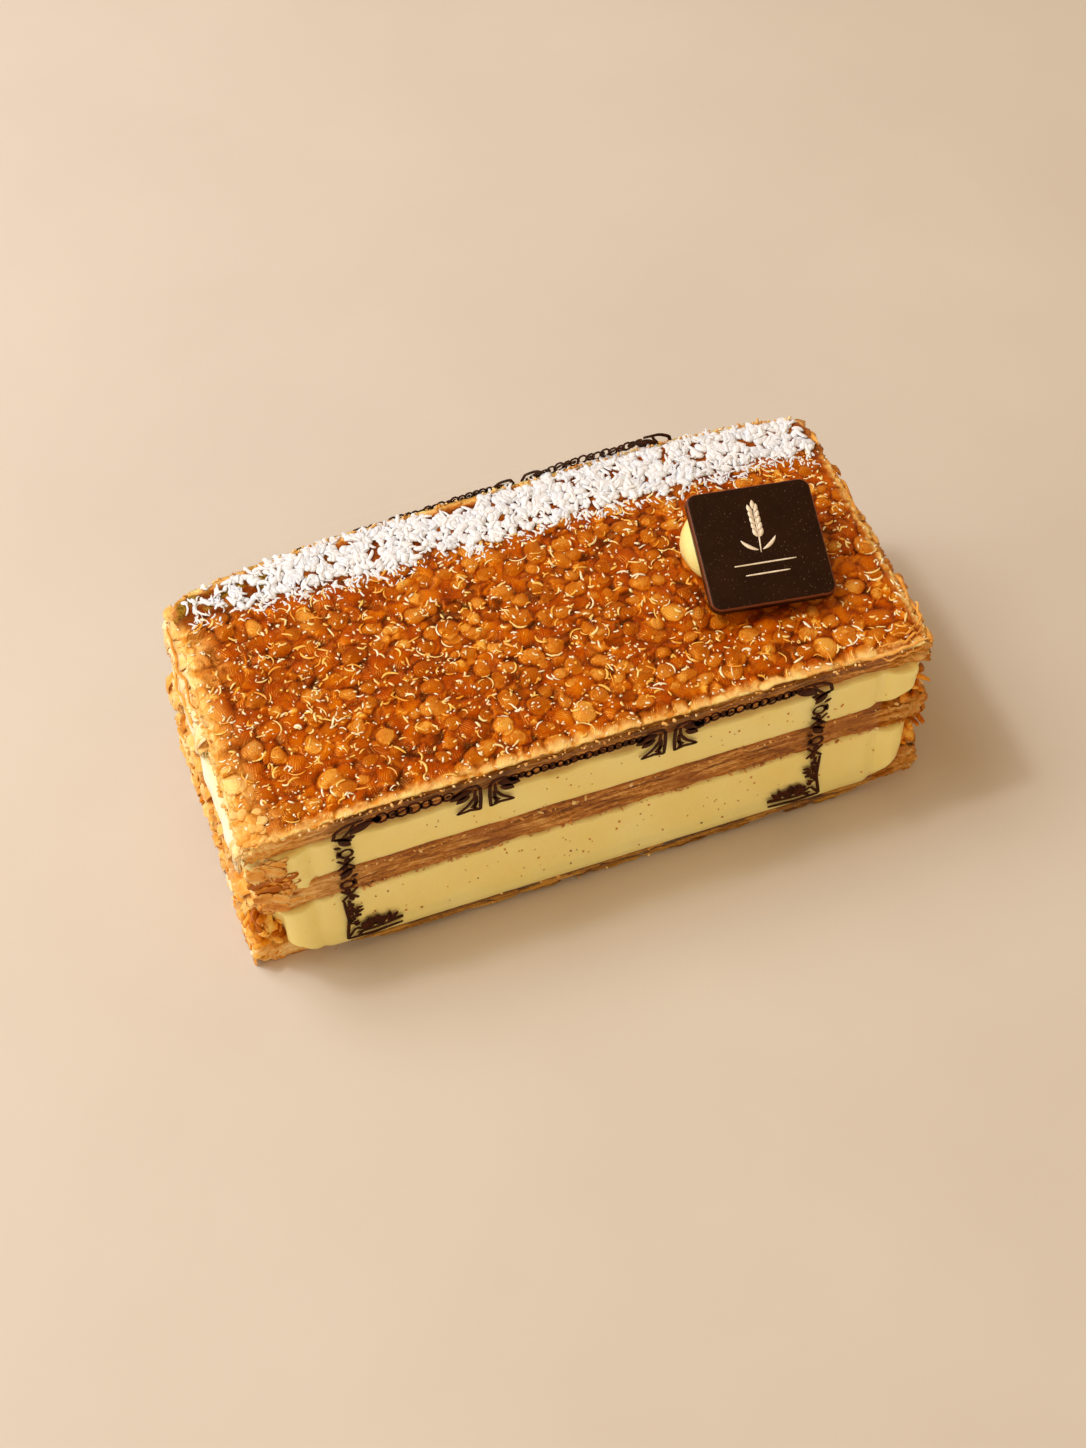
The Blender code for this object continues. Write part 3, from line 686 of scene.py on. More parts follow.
def scatter(seed, x_range, y_range, spacing, radii, rises):
    """Lumps on a staggered lattice, each shaken: centre x and y, radius and rise."""
    draw = random.Random(seed)
    row_step = spacing * 0.87
    lumps = []
    for row in range(int((y_range[1] - y_range[0]) / row_step) + 1):
        shift = spacing / 2.0 if row % 2 else 0.0
        for column in range(int((x_range[1] - x_range[0]) / spacing) + 1):
            x = x_range[0] + column * spacing + shift + draw.uniform(-0.3, 0.3) * spacing
            y = y_range[0] + row * row_step + draw.uniform(-0.3, 0.3) * spacing
            size = draw.random() ** 1.5
            lumps.append((x, y, mix(*radii, size), mix(*rises, size) * draw.uniform(0.7, 1.0)))
    return lumps


def sugar_edge(x):
    """Distance of the sugar's front edge from the middle."""
    edge = np.full(np.shape(x), SUGAR_FRONT)
    for length, depth in SUGAR_FRAYS:
        spots = [Vector((spot / length, 0.0, SUGAR_WAVE_ROW)) for spot in np.ravel(x)]
        waves = [1.6 * vector_noise.noise(spot) for spot in spots]
        edge = edge + np.reshape(waves, np.shape(x)) * depth
    return edge


DOMES_X = (-66.0, 66.0)
DOMES_Y = (-30.0, 34.0)
BIG_DOMES = scatter(11, DOMES_X, DOMES_Y, 4.4, (1.9, 3.0), (0.9, 2.0))
MEDIUM_DOMES = scatter(13, DOMES_X, DOMES_Y, 3.0, (0.75, 1.25), (0.5, 1.05))
SMALL_DOMES = scatter(14, DOMES_X, DOMES_Y, 1.75, (0.3, 0.62), (0.2, 0.5))
# Lumps of each size: a base's share of the lump's radius, how many are round domes and how many are kept
LUMPS = ((BIG_DOMES, 0.72, 0.72, 1.0), (MEDIUM_DOMES, 1.0, 1.0, 0.2), (SMALL_DOMES, 1.0, 1.0, 0.06))
RELIEF_STEP = 0.2
FACET_SIZE = 2.7                             # crooked facets of hard caramel between the domes
RIB_PITCH = 0.42                             # fine ribs across a facet or a plate


# Painted shade in the caramel's hollows: how wide and how deep a hollow is judged
SHADED_HOLLOW_CELLS = 6                             # raster cells over which a hollow is judged
SHADED_HOLLOW_DEPTH = 0.45


def blurred(raster, reach):
    """A raster's mean over a square of cells, taken twice."""
    for axis in (0, 1, 0, 1):
        raster = sum(np.roll(raster, step, axis) for step in range(-reach, reach + 1)) / (2 * reach + 1)
    return raster


def softly_higher(a, b, fillet):
    """The higher of two reliefs, with a fillet where they meet."""
    return 0.5 * (a + b + np.sqrt((a - b) ** 2 + fillet ** 2)) - 0.5 * fillet


class Raster:
    """A fine raster over the plan, whose values are read back at any place."""

    def __init__(self, x_range, y_range, step):
        self.x = np.arange(*x_range, step)
        self.y = np.arange(*y_range, step)
        self.step = step

    def window(self, x, y, reach):
        """The part of the raster within reach of a place, and the way there from the place."""
        left = max(0, int((x - reach - self.x[0]) / self.step))
        near = max(0, int((y - reach - self.y[0]) / self.step))
        right = max(left, int((x + reach - self.x[0]) / self.step) + 2)
        far = max(near, int((y + reach - self.y[0]) / self.step) + 2)
        window = (slice(left, right), slice(near, far))
        return window, self.x[left:right, None] - x, self.y[None, near:far] - y

    def read(self, raster, x, y):
        """The raster's value at any places, straight between its points."""
        column = np.clip((x - self.x[0]) / self.step, 0.0, len(self.x) - 1.001)
        row = np.clip((y - self.y[0]) / self.step, 0.0, len(self.y) - 1.001)
        i = column.astype(int)
        j = row.astype(int)
        near = mix(raster[i, j], raster[i + 1, j], column - i)
        far = mix(raster[i, j + 1], raster[i + 1, j + 1], column - i)
        return mix(near, far, row - j)


def turned(to_x, to_y, turn):
    """The same offsets along and across a direction."""
    return to_x * np.cos(turn) + to_y * np.sin(turn), to_y * np.cos(turn) - to_x * np.sin(turn)


class Caramel(Raster):
    """Relief and tones of the caramel."""

    def __init__(self):
        super().__init__(DOMES_X, DOMES_Y, RELIEF_STEP)
        x, y = np.meshgrid(self.x, self.y, indexing="ij")
        self.flaky = 1.0 - smooth(-61.0, -54.5, x + 3.0 * ripple(x / 6.0, y / 6.0, 31))
        self.spread_glaze(x, y)
        self.raise_lumps()
        # Painted shade: tone darkens where the relief lies below its blurred mean and lightens a little where
        # it stands above.
        above = (self.height - blurred(self.height, SHADED_HOLLOW_CELLS)) / SHADED_HOLLOW_DEPTH
        self.tone += 0.3 * np.clip(above, -1.0, 0.3)
        under_sugar = 0.85 * smooth(-1.2, 1.0, y - sugar_edge(self.x)[:, None])
        self.height = mix(self.height, blurred(self.height, 5) - 0.1, under_sugar)

    def spread_glaze(self, x, y):
        """Smooth glaze, broken in places into crooked ribbed facets with bright lips."""
        warp_x = x + 0.8 * ripple(x / 3.0, y / 3.0, 35)
        warp_y = y + 0.8 * ripple(x / 3.0, y / 3.0, 36)
        cell, off_x, off_y, room = cells(warp_x, warp_y, FACET_SIZE, 21)
        slope = 0.1 + 0.5 * cell_values(cell, 23)
        along, across = turned(off_x, off_y, cell_values(cell, 22) * math.tau)
        crease = smooth(0.0, 0.8, room)
        broken = smooth(-0.45, 0.05, ripple(x / 5.0, y / 5.0, 38) + 0.5 * self.flaky)
        lip = broken * np.exp(-(room / 0.2) ** 2) * smooth(-0.2, 0.2, ripple(x / 2.2, y / 2.2, 37))
        facets = 0.2 + 0.28 * cell_values(cell, 24) + 0.7 * slope * along * crease - 0.1 * (1.0 - crease)
        facets += 0.035 * np.sin(math.tau * across / 0.75) * crease
        glaze = 0.4 + 0.22 * ripple(x / 4.0, y / 4.0, 25)
        self.height = np.maximum(mix(glaze, facets, broken), 0.0) + 0.32 * lip
        plain_tone = 0.56 + 0.2 * ripple(x / 3.2, y / 3.2, 39)
        facet_tone = 0.25 + 0.55 * cell_values(cell, 26) * crease + 0.2 * slope * along
        self.tone = mix(plain_tone, facet_tone, broken) + 0.7 * lip
        self.tint = 0.7 * cell_values(cell, 27) ** 2 * (1.0 - lip) * broken
        self.rib = math.tau * across / RIB_PITCH

    def raise_lumps(self):
        """Stamps the lumps, fewer of them towards the left end."""
        draw = random.Random(15)
        for lumps, share, domed, kept in LUMPS:
            for lump in lumps:
                few = mix(1.0, 0.45, 1.0 - float(smooth(-34.0, -12.0, lump[0])))
                if draw.random() < kept * (few if kept < 1.0 else 1.0):
                    self.stamp(lump, share, draw, draw.random() < domed * few)

    def stamp(self, lump, share, draw, domed):
        """Raises one lump: a round satin dome, or a low crooked plate of the same size."""
        centre_x, centre_y, radius, rise = lump
        radius *= share * (draw.uniform(0.85, 1.1) if domed else 1.1)
        long_side = draw.uniform(1.0, 1.25) if domed else draw.uniform(1.0, 1.5)
        turn = draw.uniform(0.0, math.pi)
        lightness = draw.uniform(0.5, 0.9)
        tint = draw.uniform(0.6, 1.0)
        window, to_x, to_y = self.window(centre_x, centre_y, radius * long_side * 1.2 + RELIEF_STEP)
        height = self.height[window]
        if not height.size:
            return
        along, across = turned(to_x, to_y, turn)
        along = along / long_side
        bearing = np.arctan2(across, along)
        uneven = 1.0 + 0.08 * np.sin(2.0 * bearing + turn * 5.0) + 0.06 * np.sin(3.0 * bearing + turn * 9.0)
        out = np.hypot(along, across) / (radius * uneven)
        if domed:
            middle = np.maximum(0.0, 1.0 - out ** 2)
            risen = 0.2 + rise * 0.46 * middle ** 0.8
            self.height[window] = np.where(out < 1.0, softly_higher(height, risen, 0.2), height)
            # Painted shade and glow: a dark ring round the dome's foot and a lighter ring just inside it.
            dome_foot_shade = np.exp(-((out - 1.05) / 0.1) ** 2)
            dome_rim_glow = np.exp(-((out - 0.85) / 0.1) ** 2)
            self.tone[window] = mix(self.tone[window], lightness, middle ** 0.5) - 0.26 * dome_foot_shade + 0.2 * dome_rim_glow
            self.tint[window] = mix(self.tint[window], tint, middle ** 0.4)
            self.rib[window] = np.where(out < 1.0, 16.0 * out * radius, self.rib[window])
            return
        plate = np.clip(1.25 * (1.0 - np.maximum(np.abs(along), np.abs(across)) / radius), 0.0, 1.0) ** 0.5
        risen = rise * 0.4 * plate + 0.16 * (height + along / radius)
        over = (out < 1.0) & (risen > height)
        self.height[window] = np.where(over, risen, height)
        self.tone[window] = np.where(over, 0.34 + 0.35 * lightness * plate, self.tone[window])
        self.rib[window] = np.where(over, math.tau * across / RIB_PITCH, self.rib[window])

    def level(self, x, y):
        """Height of the upper face at any places, with its rims and what the plaque keeps low."""
        edge = edge_distance(x, y)
        rim = smooth(0.0, 2.6, edge)
        ground = TOP_FACE - VALLEY - 0.4 * (1.0 - rim)
        height = ground + self.read(self.height, x, y) * mix(0.6, 1.0, rim)
        reach = np.hypot(*((np.stack([x, y]).T - DOLLOP_CENTRE) / DOLLOP_RADII).T)
        height = np.where(reach < 1.25, np.minimum(height, TOP_FACE), height)
        under = np.maximum(TOP_FACE, plaque_underside(x, y) - 0.1)
        return np.where(plaque_reach(x, y) < 0.9, np.minimum(height, under), height)


def edge_distance(x, y):
    """How far inside the top sheet's outline a place lies."""
    left, right = CRUST_ENDS
    u = np.clip((x - left) / (right - left), 0.0, 1.0)
    front = TOP_PLAN.point(u, np.zeros_like(u))[..., 1]
    back = TOP_PLAN.point(u, np.ones_like(u))[..., 1]
    return np.minimum(np.minimum(x - left, right - x), np.minimum(y - front, back - y))


def plaque_underside(x, y):
    """Height of the plaque's lower face, as an endless plane."""
    normal = np.array(PLAQUE_TURN @ Vector((0.0, 0.0, 1.0)))
    foot = PLAQUE_CENTRE - normal * PLAQUE_THICK
    return foot[2] - ((x - foot[0]) * normal[0] + (y - foot[1]) * normal[1]) / normal[2]


def plaque_reach(x, y):
    """How far a place lies outside the plaque seen from above; negative inside."""
    across, along = turned(x - PLAQUE_CENTRE[0], y - PLAQUE_CENTRE[1], PLAQUE_HEADING)
    return np.maximum(np.abs(across), np.abs(along)) - PLAQUE_SIDE / 2.0


LEAF_PITCH = 0.62


def laminate(place, z, seed):
    """The leaves of a side: how far up a ridge a point is, how the leaf stands, its teeth and its tone."""
    along = place[:, 0] + 1.37 * place[:, 1]
    phase = z / LEAF_PITCH + 1.3 * ripple(along / 7.0, z / 4.0, seed)
    phase = phase + 0.4 * ripple(along / 1.7, z / 1.5, seed + 1)
    leaf = np.floor(phase)
    ridge = np.sin(math.pi * (phase - leaf)) ** 0.5
    stand = ripple(along / 6.0 + 31.7 * leaf, 7.37 * leaf, seed + 2)
    tooth = ripple(along / 1.1 + 13.1 * leaf, 3.71 * leaf, seed + 3)
    tone = 0.5 + 0.6 * ripple(along / 11.0 + 5.1 * leaf, 1.93 * leaf, seed + 4)
    return ridge, stand, tooth, tone


def side_offset(ridge, stand, tooth, ragged):
    """How far a point of a sheet's side stands out."""
    cut = np.minimum(-0.42 + 0.3 * ridge + 0.22 * stand + 0.1 * tooth, 0.0)
    torn = np.clip(-0.9 + 0.7 * ridge + (1.2 * stand + 0.9 * tooth) * ridge, -1.9, 1.3)
    return mix(cut, torn, ragged)


def brink(z, levels):
    """How near a height lies to a sheet's upper or lower face, where its leaves are browner."""
    share = (z - min(levels)) / (max(levels) - min(levels))
    return 0.8 * (1.0 - smooth(0.0, 0.16, share)) + 0.5 * smooth(0.88, 1.0, share)


WALL_STEP = 0.2


def flaky_sheet(name, plan, levels, seed, node, look):
    """A plain sheet of puff pastry: laminated cut sides, torn ends, flat inner faces."""
    place, outward = plan.outline(corner=1.6, step=0.42)
    z = np.linspace(*levels, int((levels[1] - levels[0]) / WALL_STEP))[:, None]
    ragged = plan.ragged(place[:, 0])
    ridge, stand, tooth, tone = laminate(place, z, seed)
    offset = side_offset(ridge, stand, tooth, ragged)
    wall = np.empty((len(z), len(place), 3))
    wall[..., :2] = place + outward * offset[..., None]
    wall[..., 2] = z
    cap = place - outward * CAP_INSET
    foot, head = (np.column_stack([cap, np.full(len(cap), level)])[None] for level in levels)
    points, faces = shell(np.concatenate([foot, wall, head]))
    traits = {"leaf": tone, "depth": ridge, "ragged": plan.lightness(place[:, 0]), "brink": brink(z, levels)}
    for trait, values in traits.items():
        values = np.broadcast_to(values, ridge.shape)
        ends = [values[0], values.ravel(), values[-1], [0.5, 0.5]]
        traits[trait] = np.concatenate(ends)
    return make(name, points, faces, look, [node], traits)


CRUST_GRID = (391, 178)
WALL_LEVELS = 24


def rough_outline(place, left, right, front, back):
    """The crust's grid in the plan with wavy ends and rims and chipped corners."""
    x, y = place[..., 0], place[..., 1]
    end_wave = 0.8 * ripple(y / 3.0, 0.3, 41) + 0.7 * ripple(y / 1.1, 0.7, 42) - 0.5
    other_wave = 0.8 * ripple(y / 3.0, 5.3, 41) + 0.7 * ripple(y / 1.1, 6.7, 42) - 0.5
    rim_wave = 0.3 + 0.3 * ripple(x / 2.2, 0.5, 43) + 0.14 * ripple(x / 0.8, 0.5, 44)
    x = x + (other_wave * np.exp(-right / 1.3) - end_wave * np.exp(-left / 1.3))
    y = y + rim_wave * (np.exp(-back / 0.7) - np.exp(-front / 0.7))
    chip = 0.9 * np.exp(-(np.minimum(left, right) + np.minimum(front, back)) / 1.1)
    return x - np.sign(x) * chip, y - np.sign(y) * chip


def crust_tones(caramel, x, y, edge, back):
    """What the caramel's material reads from the upper face."""
    rim = 1.0 - smooth(0.3, 2.0, edge + 0.5 * ripple(x, y, 45))
    behind = y - sugar_edge(x[:, :1])
    olive = smooth(0.0, 1.5, behind) * (1.0 - smooth(-46.0, -26.0, x))
    return {
        "tone": caramel.read(caramel.tone, x, y) + 0.25 * rim, "tint": caramel.read(caramel.tint, x, y),
        "pale": np.clip(0.7 * caramel.read(caramel.flaky, x, y) + 0.95 * rim, 0.0, 1.0),
        "dark": smooth(-2.4, 0.6, behind) * 0.9 * smooth(0.8, 2.4, back),
        "olive": olive * smooth(-0.1, 0.5, ripple(x / 3.0, y / 3.0, 46)),
        "rib": caramel.read(caramel.rib, x, y),
    }


WALL_TONES = {"tone": 0.5, "tint": 0.5, "pale": 1.0, "dark": 0.0, "olive": 0.0, "rib": 0.0}


def outward_from(base, on_long_side):
    """Directions out of the top sheet round its border, turning at its corners."""
    middle_y = (TOP_PLAN.corners[0][1] + TOP_PLAN.corners[2][1]) / 2.0
    far_x = np.maximum(np.abs(base[:, 0]) - (TOP_PLAN.length / 2.0 - CAP_INSET), 0.0)
    far_y = np.maximum(np.abs(base[:, 1] - middle_y) - (TOP_PLAN.width / 2.0 - CAP_INSET), 0.0)
    far_y = np.where(on_long_side, np.maximum(far_y, 0.2), far_y)
    outward = np.stack([far_x * np.sign(base[:, 0]), far_y * np.sign(base[:, 1] - middle_y)], axis=-1)
    return outward / np.linalg.norm(outward, axis=1)[:, None]


def top_crust(caramel, look):
    """The top sheet: the caramel relief over laminated sides."""
    columns, rows = CRUST_GRID
    u, v = np.meshgrid(np.linspace(0.0, 1.0, columns), np.linspace(0.0, 1.0, rows), indexing="ij")
    place = TOP_PLAN.point(u, v)
    left, right = u * TOP_PLAN.length, (1.0 - u) * TOP_PLAN.length
    front, back = v * TOP_PLAN.width, (1.0 - v) * TOP_PLAN.width
    x, y = rough_outline(place, left, right, front, back)
    edge = np.minimum(np.minimum(left, right), np.minimum(front, back))
    index, top, border = lattice(columns, rows)
    base = place.reshape(-1, 2)[border]
    outward = outward_from(base, np.isin(border, np.concatenate([index[:, 0], index[:, -1]])))
    levels = np.linspace(TOP_FACE - VALLEY - 0.6, TOP_LOW, WALL_LEVELS)[:, None]
    ridge, stand, tooth, leaf = laminate(base, levels, 51)
    offset = side_offset(ridge, stand, tooth, TOP_PLAN.ragged(base[:, 0]))
    offset = offset - (outward[:, 0] * outward[:, 1]) ** 2
    wall = np.empty((len(levels), len(border), 3))
    wall[..., :2] = base + outward * offset[..., None]
    wall[..., 2] = levels
    cap = np.column_stack([base - outward * CAP_INSET, np.full(len(border), TOP_LOW)])
    grid = np.stack([x, y, caramel.level(x, y)], axis=-1)
    points = np.concatenate([grid.reshape(-1, 3), wall.reshape(-1, 3), cap, cap.mean(axis=0)[None]])
    rings = columns * rows + np.arange((len(levels) + 1) * len(border)).reshape(-1, len(border))
    stack = np.concatenate([border[None], rings])[::-1]
    below = len(points) - columns * rows

    def on_both(upper, lower):
        upper = np.broadcast_to(upper, (columns, rows))
        return np.concatenate([upper.ravel(), np.broadcast_to(lower, below)])

    def on_walls(values):
        values = np.broadcast_to(values, ridge.shape)
        return np.concatenate([values.ravel(), values[-1], [0.5]])

    tones = crust_tones(caramel, x, y, edge, back)
    traits = {name: on_both(values, WALL_TONES[name]) for name, values in tones.items()}
    traits.update({
        "side": on_both(0.0, 1.0), "leaf": on_both(0.6, on_walls(leaf)),
        "depth": on_both(1.0, on_walls(ridge)),
        "ragged": on_both(1.0, on_walls(TOP_PLAN.lightness(base[:, 0]))),
        "brink": on_both(0.0, on_walls(brink(levels, (TOP_LOW, TOP_FACE)))),
    })
    faces = [np.concatenate([top, walls(stack)]), fan(rings[-1], len(points) - 1)]
    return make("caramel_crust", points, faces, look, ["pastry_top"], traits)


def lying(caramel, x, y, lift):
    """Points on the caramel, raised a little."""
    return np.stack([x, y, caramel.level(x, y) + lift], axis=-1)


LOOSE_CURLS = 760
CURL_FIELD = ((-60.8, 61.2), (-27.0, 20.6))
CURL_STEPS = 7
CURL_TAPER = np.array([0.4, 0.8, 1.0, 1.0, 0.95, 0.8, 0.4])


def curls(caramel, look):
    """Thin crisp shreds with near-white tones that are painted highlights: arcs that hug the domes, and loose
    crooked ones.
    """
    draw = np.random.default_rng(61)
    domes = np.array(BIG_DOMES + MEDIUM_DOMES)
    domes = domes[(edge_distance(domes[:, 0], domes[:, 1]) > 1.0) & (domes[:, 1] < 20.5)]
    hugged = domes[draw.random(len(domes)) < 0.42]
    radius = hugged[:, 2] * np.where(hugged[:, 2] > 1.5, 0.78, 0.95)
    turn = draw.random(len(hugged))[:, None] * math.tau
    turn = turn + draw.uniform(0.6, 2.0, len(hugged))[:, None] * np.linspace(0.0, 1.0, CURL_STEPS)
    arc_x = hugged[:, :1] + radius[:, None] * np.cos(turn)
    arc_y = hugged[:, 1:2] + radius[:, None] * np.sin(turn)
    middles = np.column_stack([draw.uniform(*sides, LOOSE_CURLS) for sides in CURL_FIELD])
    lengths = 0.5 + 2.2 * draw.random(LOOSE_CURLS) ** 2.4
    kinks = draw.uniform(1.0, 2.0, LOOSE_CURLS) * (draw.random(LOOSE_CURLS) < 0.3)
    bends = draw.uniform(0.1, 1.3, (LOOSE_CURLS, 1))
    headings = draw.random(LOOSE_CURLS) * math.tau
    x, y = bent_lines(draw, middles, headings, lengths, bends, CURL_STEPS, kinks)
    x = np.concatenate([arc_x, x])
    y = np.concatenate([arc_y, y])
    keep = (plaque_reach(x, y).min(axis=1) > 0.4) & (edge_distance(x, y).min(axis=1) > 0.3)
    x, y = x[keep], y[keep]
    count = len(x)
    spine = lying(caramel, x, y, 0.03)
    spine[..., 2] = mix(spine[..., 2], spine[..., 2].max(axis=1)[:, None], 0.2)
    along = np.gradient(spine, axis=1)
    along /= np.linalg.norm(along, axis=-1)[..., None]
    tilt = draw.normal(size=(count, 1)) * 0.3
    across = np.stack([-along[..., 1], along[..., 0], np.broadcast_to(tilt, along.shape[:2])], axis=-1)
    across /= np.linalg.norm(across, axis=-1)[..., None]
    thick = np.cross(along, across) * 0.07 * CURL_TAPER[:, None]
    width = draw.uniform(0.09, 0.23, (count, 1, 1)) * CURL_TAPER[:, None]
    points, faces = ribbons(spine, across * width, thick)
    tones = draw.random(count)
    return make("caramel_curls", points, faces, look, traits=tones_each(tones, points))


GLINT_BEADS = 1350
GLINT_BEAD_FIELD = ((-61.0, 61.5), (-27.2, 20.5))


def glint_beads(caramel, look):
    """Small drops of caramel in near-white colours: painted highlights that stand in for glints."""
    draw = np.random.default_rng(62)
    x, y = (draw.uniform(*sides, GLINT_BEADS) for sides in GLINT_BEAD_FIELD)
    keep = (plaque_reach(x, y) > 0.3) & (edge_distance(x, y) > 0.3)
    x, y = x[keep], y[keep]
    radii = (0.12 + 0.13 * draw.random(len(x)) ** 1.5)[:, None] * np.ones(3)
    radii[:, 0] *= 1.0 + 2.6 * draw.random(len(x)) ** 2
    radii[:, 2] *= 0.8
    points, faces, tone = blobs(lying(caramel, x, y, 0.04), radii, 63, 1, 0.06)
    return make("painted_glint_beads", points, faces, look, traits={"tone": tone})


# Strokes of sugar: number, places behind the band's front edge, half width, length and lift
SUGAR_ZONES = (
    (1400, (0.3, 13.6), (0.5, 0.9), (1.2, 2.8), (0.02, 0.24)),
    (800, (0.5, 13.4), (0.22, 0.44), (1.4, 3.4), (0.25, 0.5)),
    (420, (-1.6, 1.6), (0.17, 0.34), (0.8, 2.4), (0.02, 0.02)),
    (240, (-3.4, -0.8), (0.1, 0.18), (0.4, 1.4), (0.02, 0.02)),
)
SUGAR_STEPS = 5
SUGAR_SHAPE = np.array([0.55, 0.95, 1.0, 0.95, 0.55])
BARE_RIM = (-7.0, 5.0)                       # middle and half length of a bare golden stretch at the back


def sugar(caramel, look):
    """Strokes of melted sugar that run into each other along the back rim, finer and looser in front."""
    draw = np.random.default_rng(71)
    spines = []
    radii = []
    for count, reach, half, length, lift in SUGAR_ZONES:
        x = draw.uniform(*SUGAR_ENDS, count)
        y = sugar_edge(x) + draw.uniform(*reach, count)
        full = smooth(-60.0, -30.0, x)
        room = edge_distance(x, y)
        bare = (np.abs(x - BARE_RIM[0]) < BARE_RIM[1]) & (room < 2.6)
        keep = (ripple(x / 2.4, y / 2.0, 72) > mix(-0.2, -0.45, full)) & (room > 0.25) & ~bare
        keep &= draw.random(len(x)) < mix(0.8, 1.0, full)
        x, y, full = x[keep], y[keep], full[keep]
        heading = math.tau / 4.0 + draw.normal(size=len(x)) * 0.85
        lengths = draw.uniform(*length, len(x))
        x, y = bent_lines(draw, np.stack([x, y], axis=-1), heading, lengths, 0.45, SUGAR_STEPS)
        spines.append(lying(caramel, x, y, draw.uniform(*lift, (len(x), 1))))
        radii.append((draw.uniform(*half, len(x)) * mix(0.62, 1.0, full))[:, None] * SUGAR_SHAPE)
    points, faces = strands(np.concatenate(spines), np.concatenate(radii), 7, flat=0.5)
    return make("melted_sugar", points, faces, look)


END_LEAVES = 84                              # at each end of each sheet
END_LEAF_ROWS = 4
END_LEAF_COLUMNS = 7


def end_leaves(look):
    """Thin torn leaves that stand out of the sheets' ends."""
    draw = np.random.default_rng(81)
    each = (END_LEAVES, 1, 1)
    share = np.linspace(-0.5, 0.5, END_LEAF_COLUMNS)
    out = np.linspace(-1.6, 1.0, END_LEAF_ROWS)[:, None]
    taper = 1.0 - np.abs(2.0 * share) ** 3
    every = []
    for plan, levels in ((BOTTOM_PLAN, BOTTOM_SHEET), (MIDDLE_PLAN, MIDDLE_SHEET),
                         (TOP_PLAN, (TOP_LOW, TOP_FACE - VALLEY))):
        for end in (-1.0, 1.0):
            root = plan.point(0.0 if end < 0.0 else 1.0, draw.uniform(0.0, 1.0, each))
            z = draw.uniform(levels[0] + 0.3, levels[1] - 0.1, each)
            y = root[..., 1] + share * draw.uniform(2.5, 8.0, each)
            y = moved_in(y, plan.corners[0][1] + 0.3, plan.corners[3][1] - 0.2)
            stand = draw.uniform(0.1, 1.4, each) * (0.45 if plan is TOP_PLAN else 1.0)
            ragged = 1.0 + 0.5 * ripple(y * 1.1, z * 3.0, 82) + 0.3 * ripple(y * 2.7, z * 3.0, 83)
            reach = np.where(out > 0.0, out * stand * ragged * taper, out)
            x = root[..., 0] + end * (reach - 0.25)
            wave = 0.35 * ripple(y / 2.2, z * 5.0, 84) * np.clip(out + 1.0, 0.0, 1.6)
            lift = z + wave + draw.normal(size=each) * 0.35 * np.maximum(out, 0.0)
            grid = np.stack(np.broadcast_arrays(x, y, lift), axis=-1)
            every.append(grid if end > 0.0 else grid[:, :, ::-1])
    grid = np.concatenate(every)
    grid[..., 2] = np.maximum(grid[..., 2], 0.15)
    deeper = 0.2 * (grid[:, :1, :1, 0] > 0.0)
    pale = 0.25 * np.linspace(0.0, 1.0, END_LEAF_ROWS)[:, None] ** 2
    tone = draw.uniform(0.1, 0.6, (len(grid), 1, 1)) - deeper + pale
    return leaf_piece("end_leaves", grid, np.array([0.0, 0.0, 0.07]), tone, look)


# Leaves that hang from a sheet's end: which end, plan, levels of their roots, number, reach, drop and tones
FRINGES = (
    (-1.0, TOP_PLAN, (33.5, 37.2), 165, (0.4, 1.8), (1.0, 6.5), (0.3, 0.75)),
    (-1.0, MIDDLE_PLAN, (17.0, 21.8), 70, (0.6, 2.4), (1.0, 5.0), (0.0, 0.45)),
    (-1.0, BOTTOM_PLAN, (2.0, 5.6), 50, (0.2, 0.9), (0.6, 3.5), (0.0, 0.45)),
    (1.0, TOP_PLAN, (33.5, 37.0), 70, (0.3, 1.4), (0.6, 3.0), (-0.1, 0.4)),
    (1.0, MIDDLE_PLAN, (17.0, 21.6), 60, (0.2, 1.2), (0.8, 4.0), (-0.2, 0.3)),
    (1.0, BOTTOM_PLAN, (2.0, 5.6), 50, (0.2, 1.0), (0.6, 3.5), (-0.2, 0.3)),
)
FRINGE_ROWS = 7
FRINGE_COLUMNS = 5
BULGE_Y = (-24.0, -3.0)                      # here the upper cream swells out between the leaves at the left


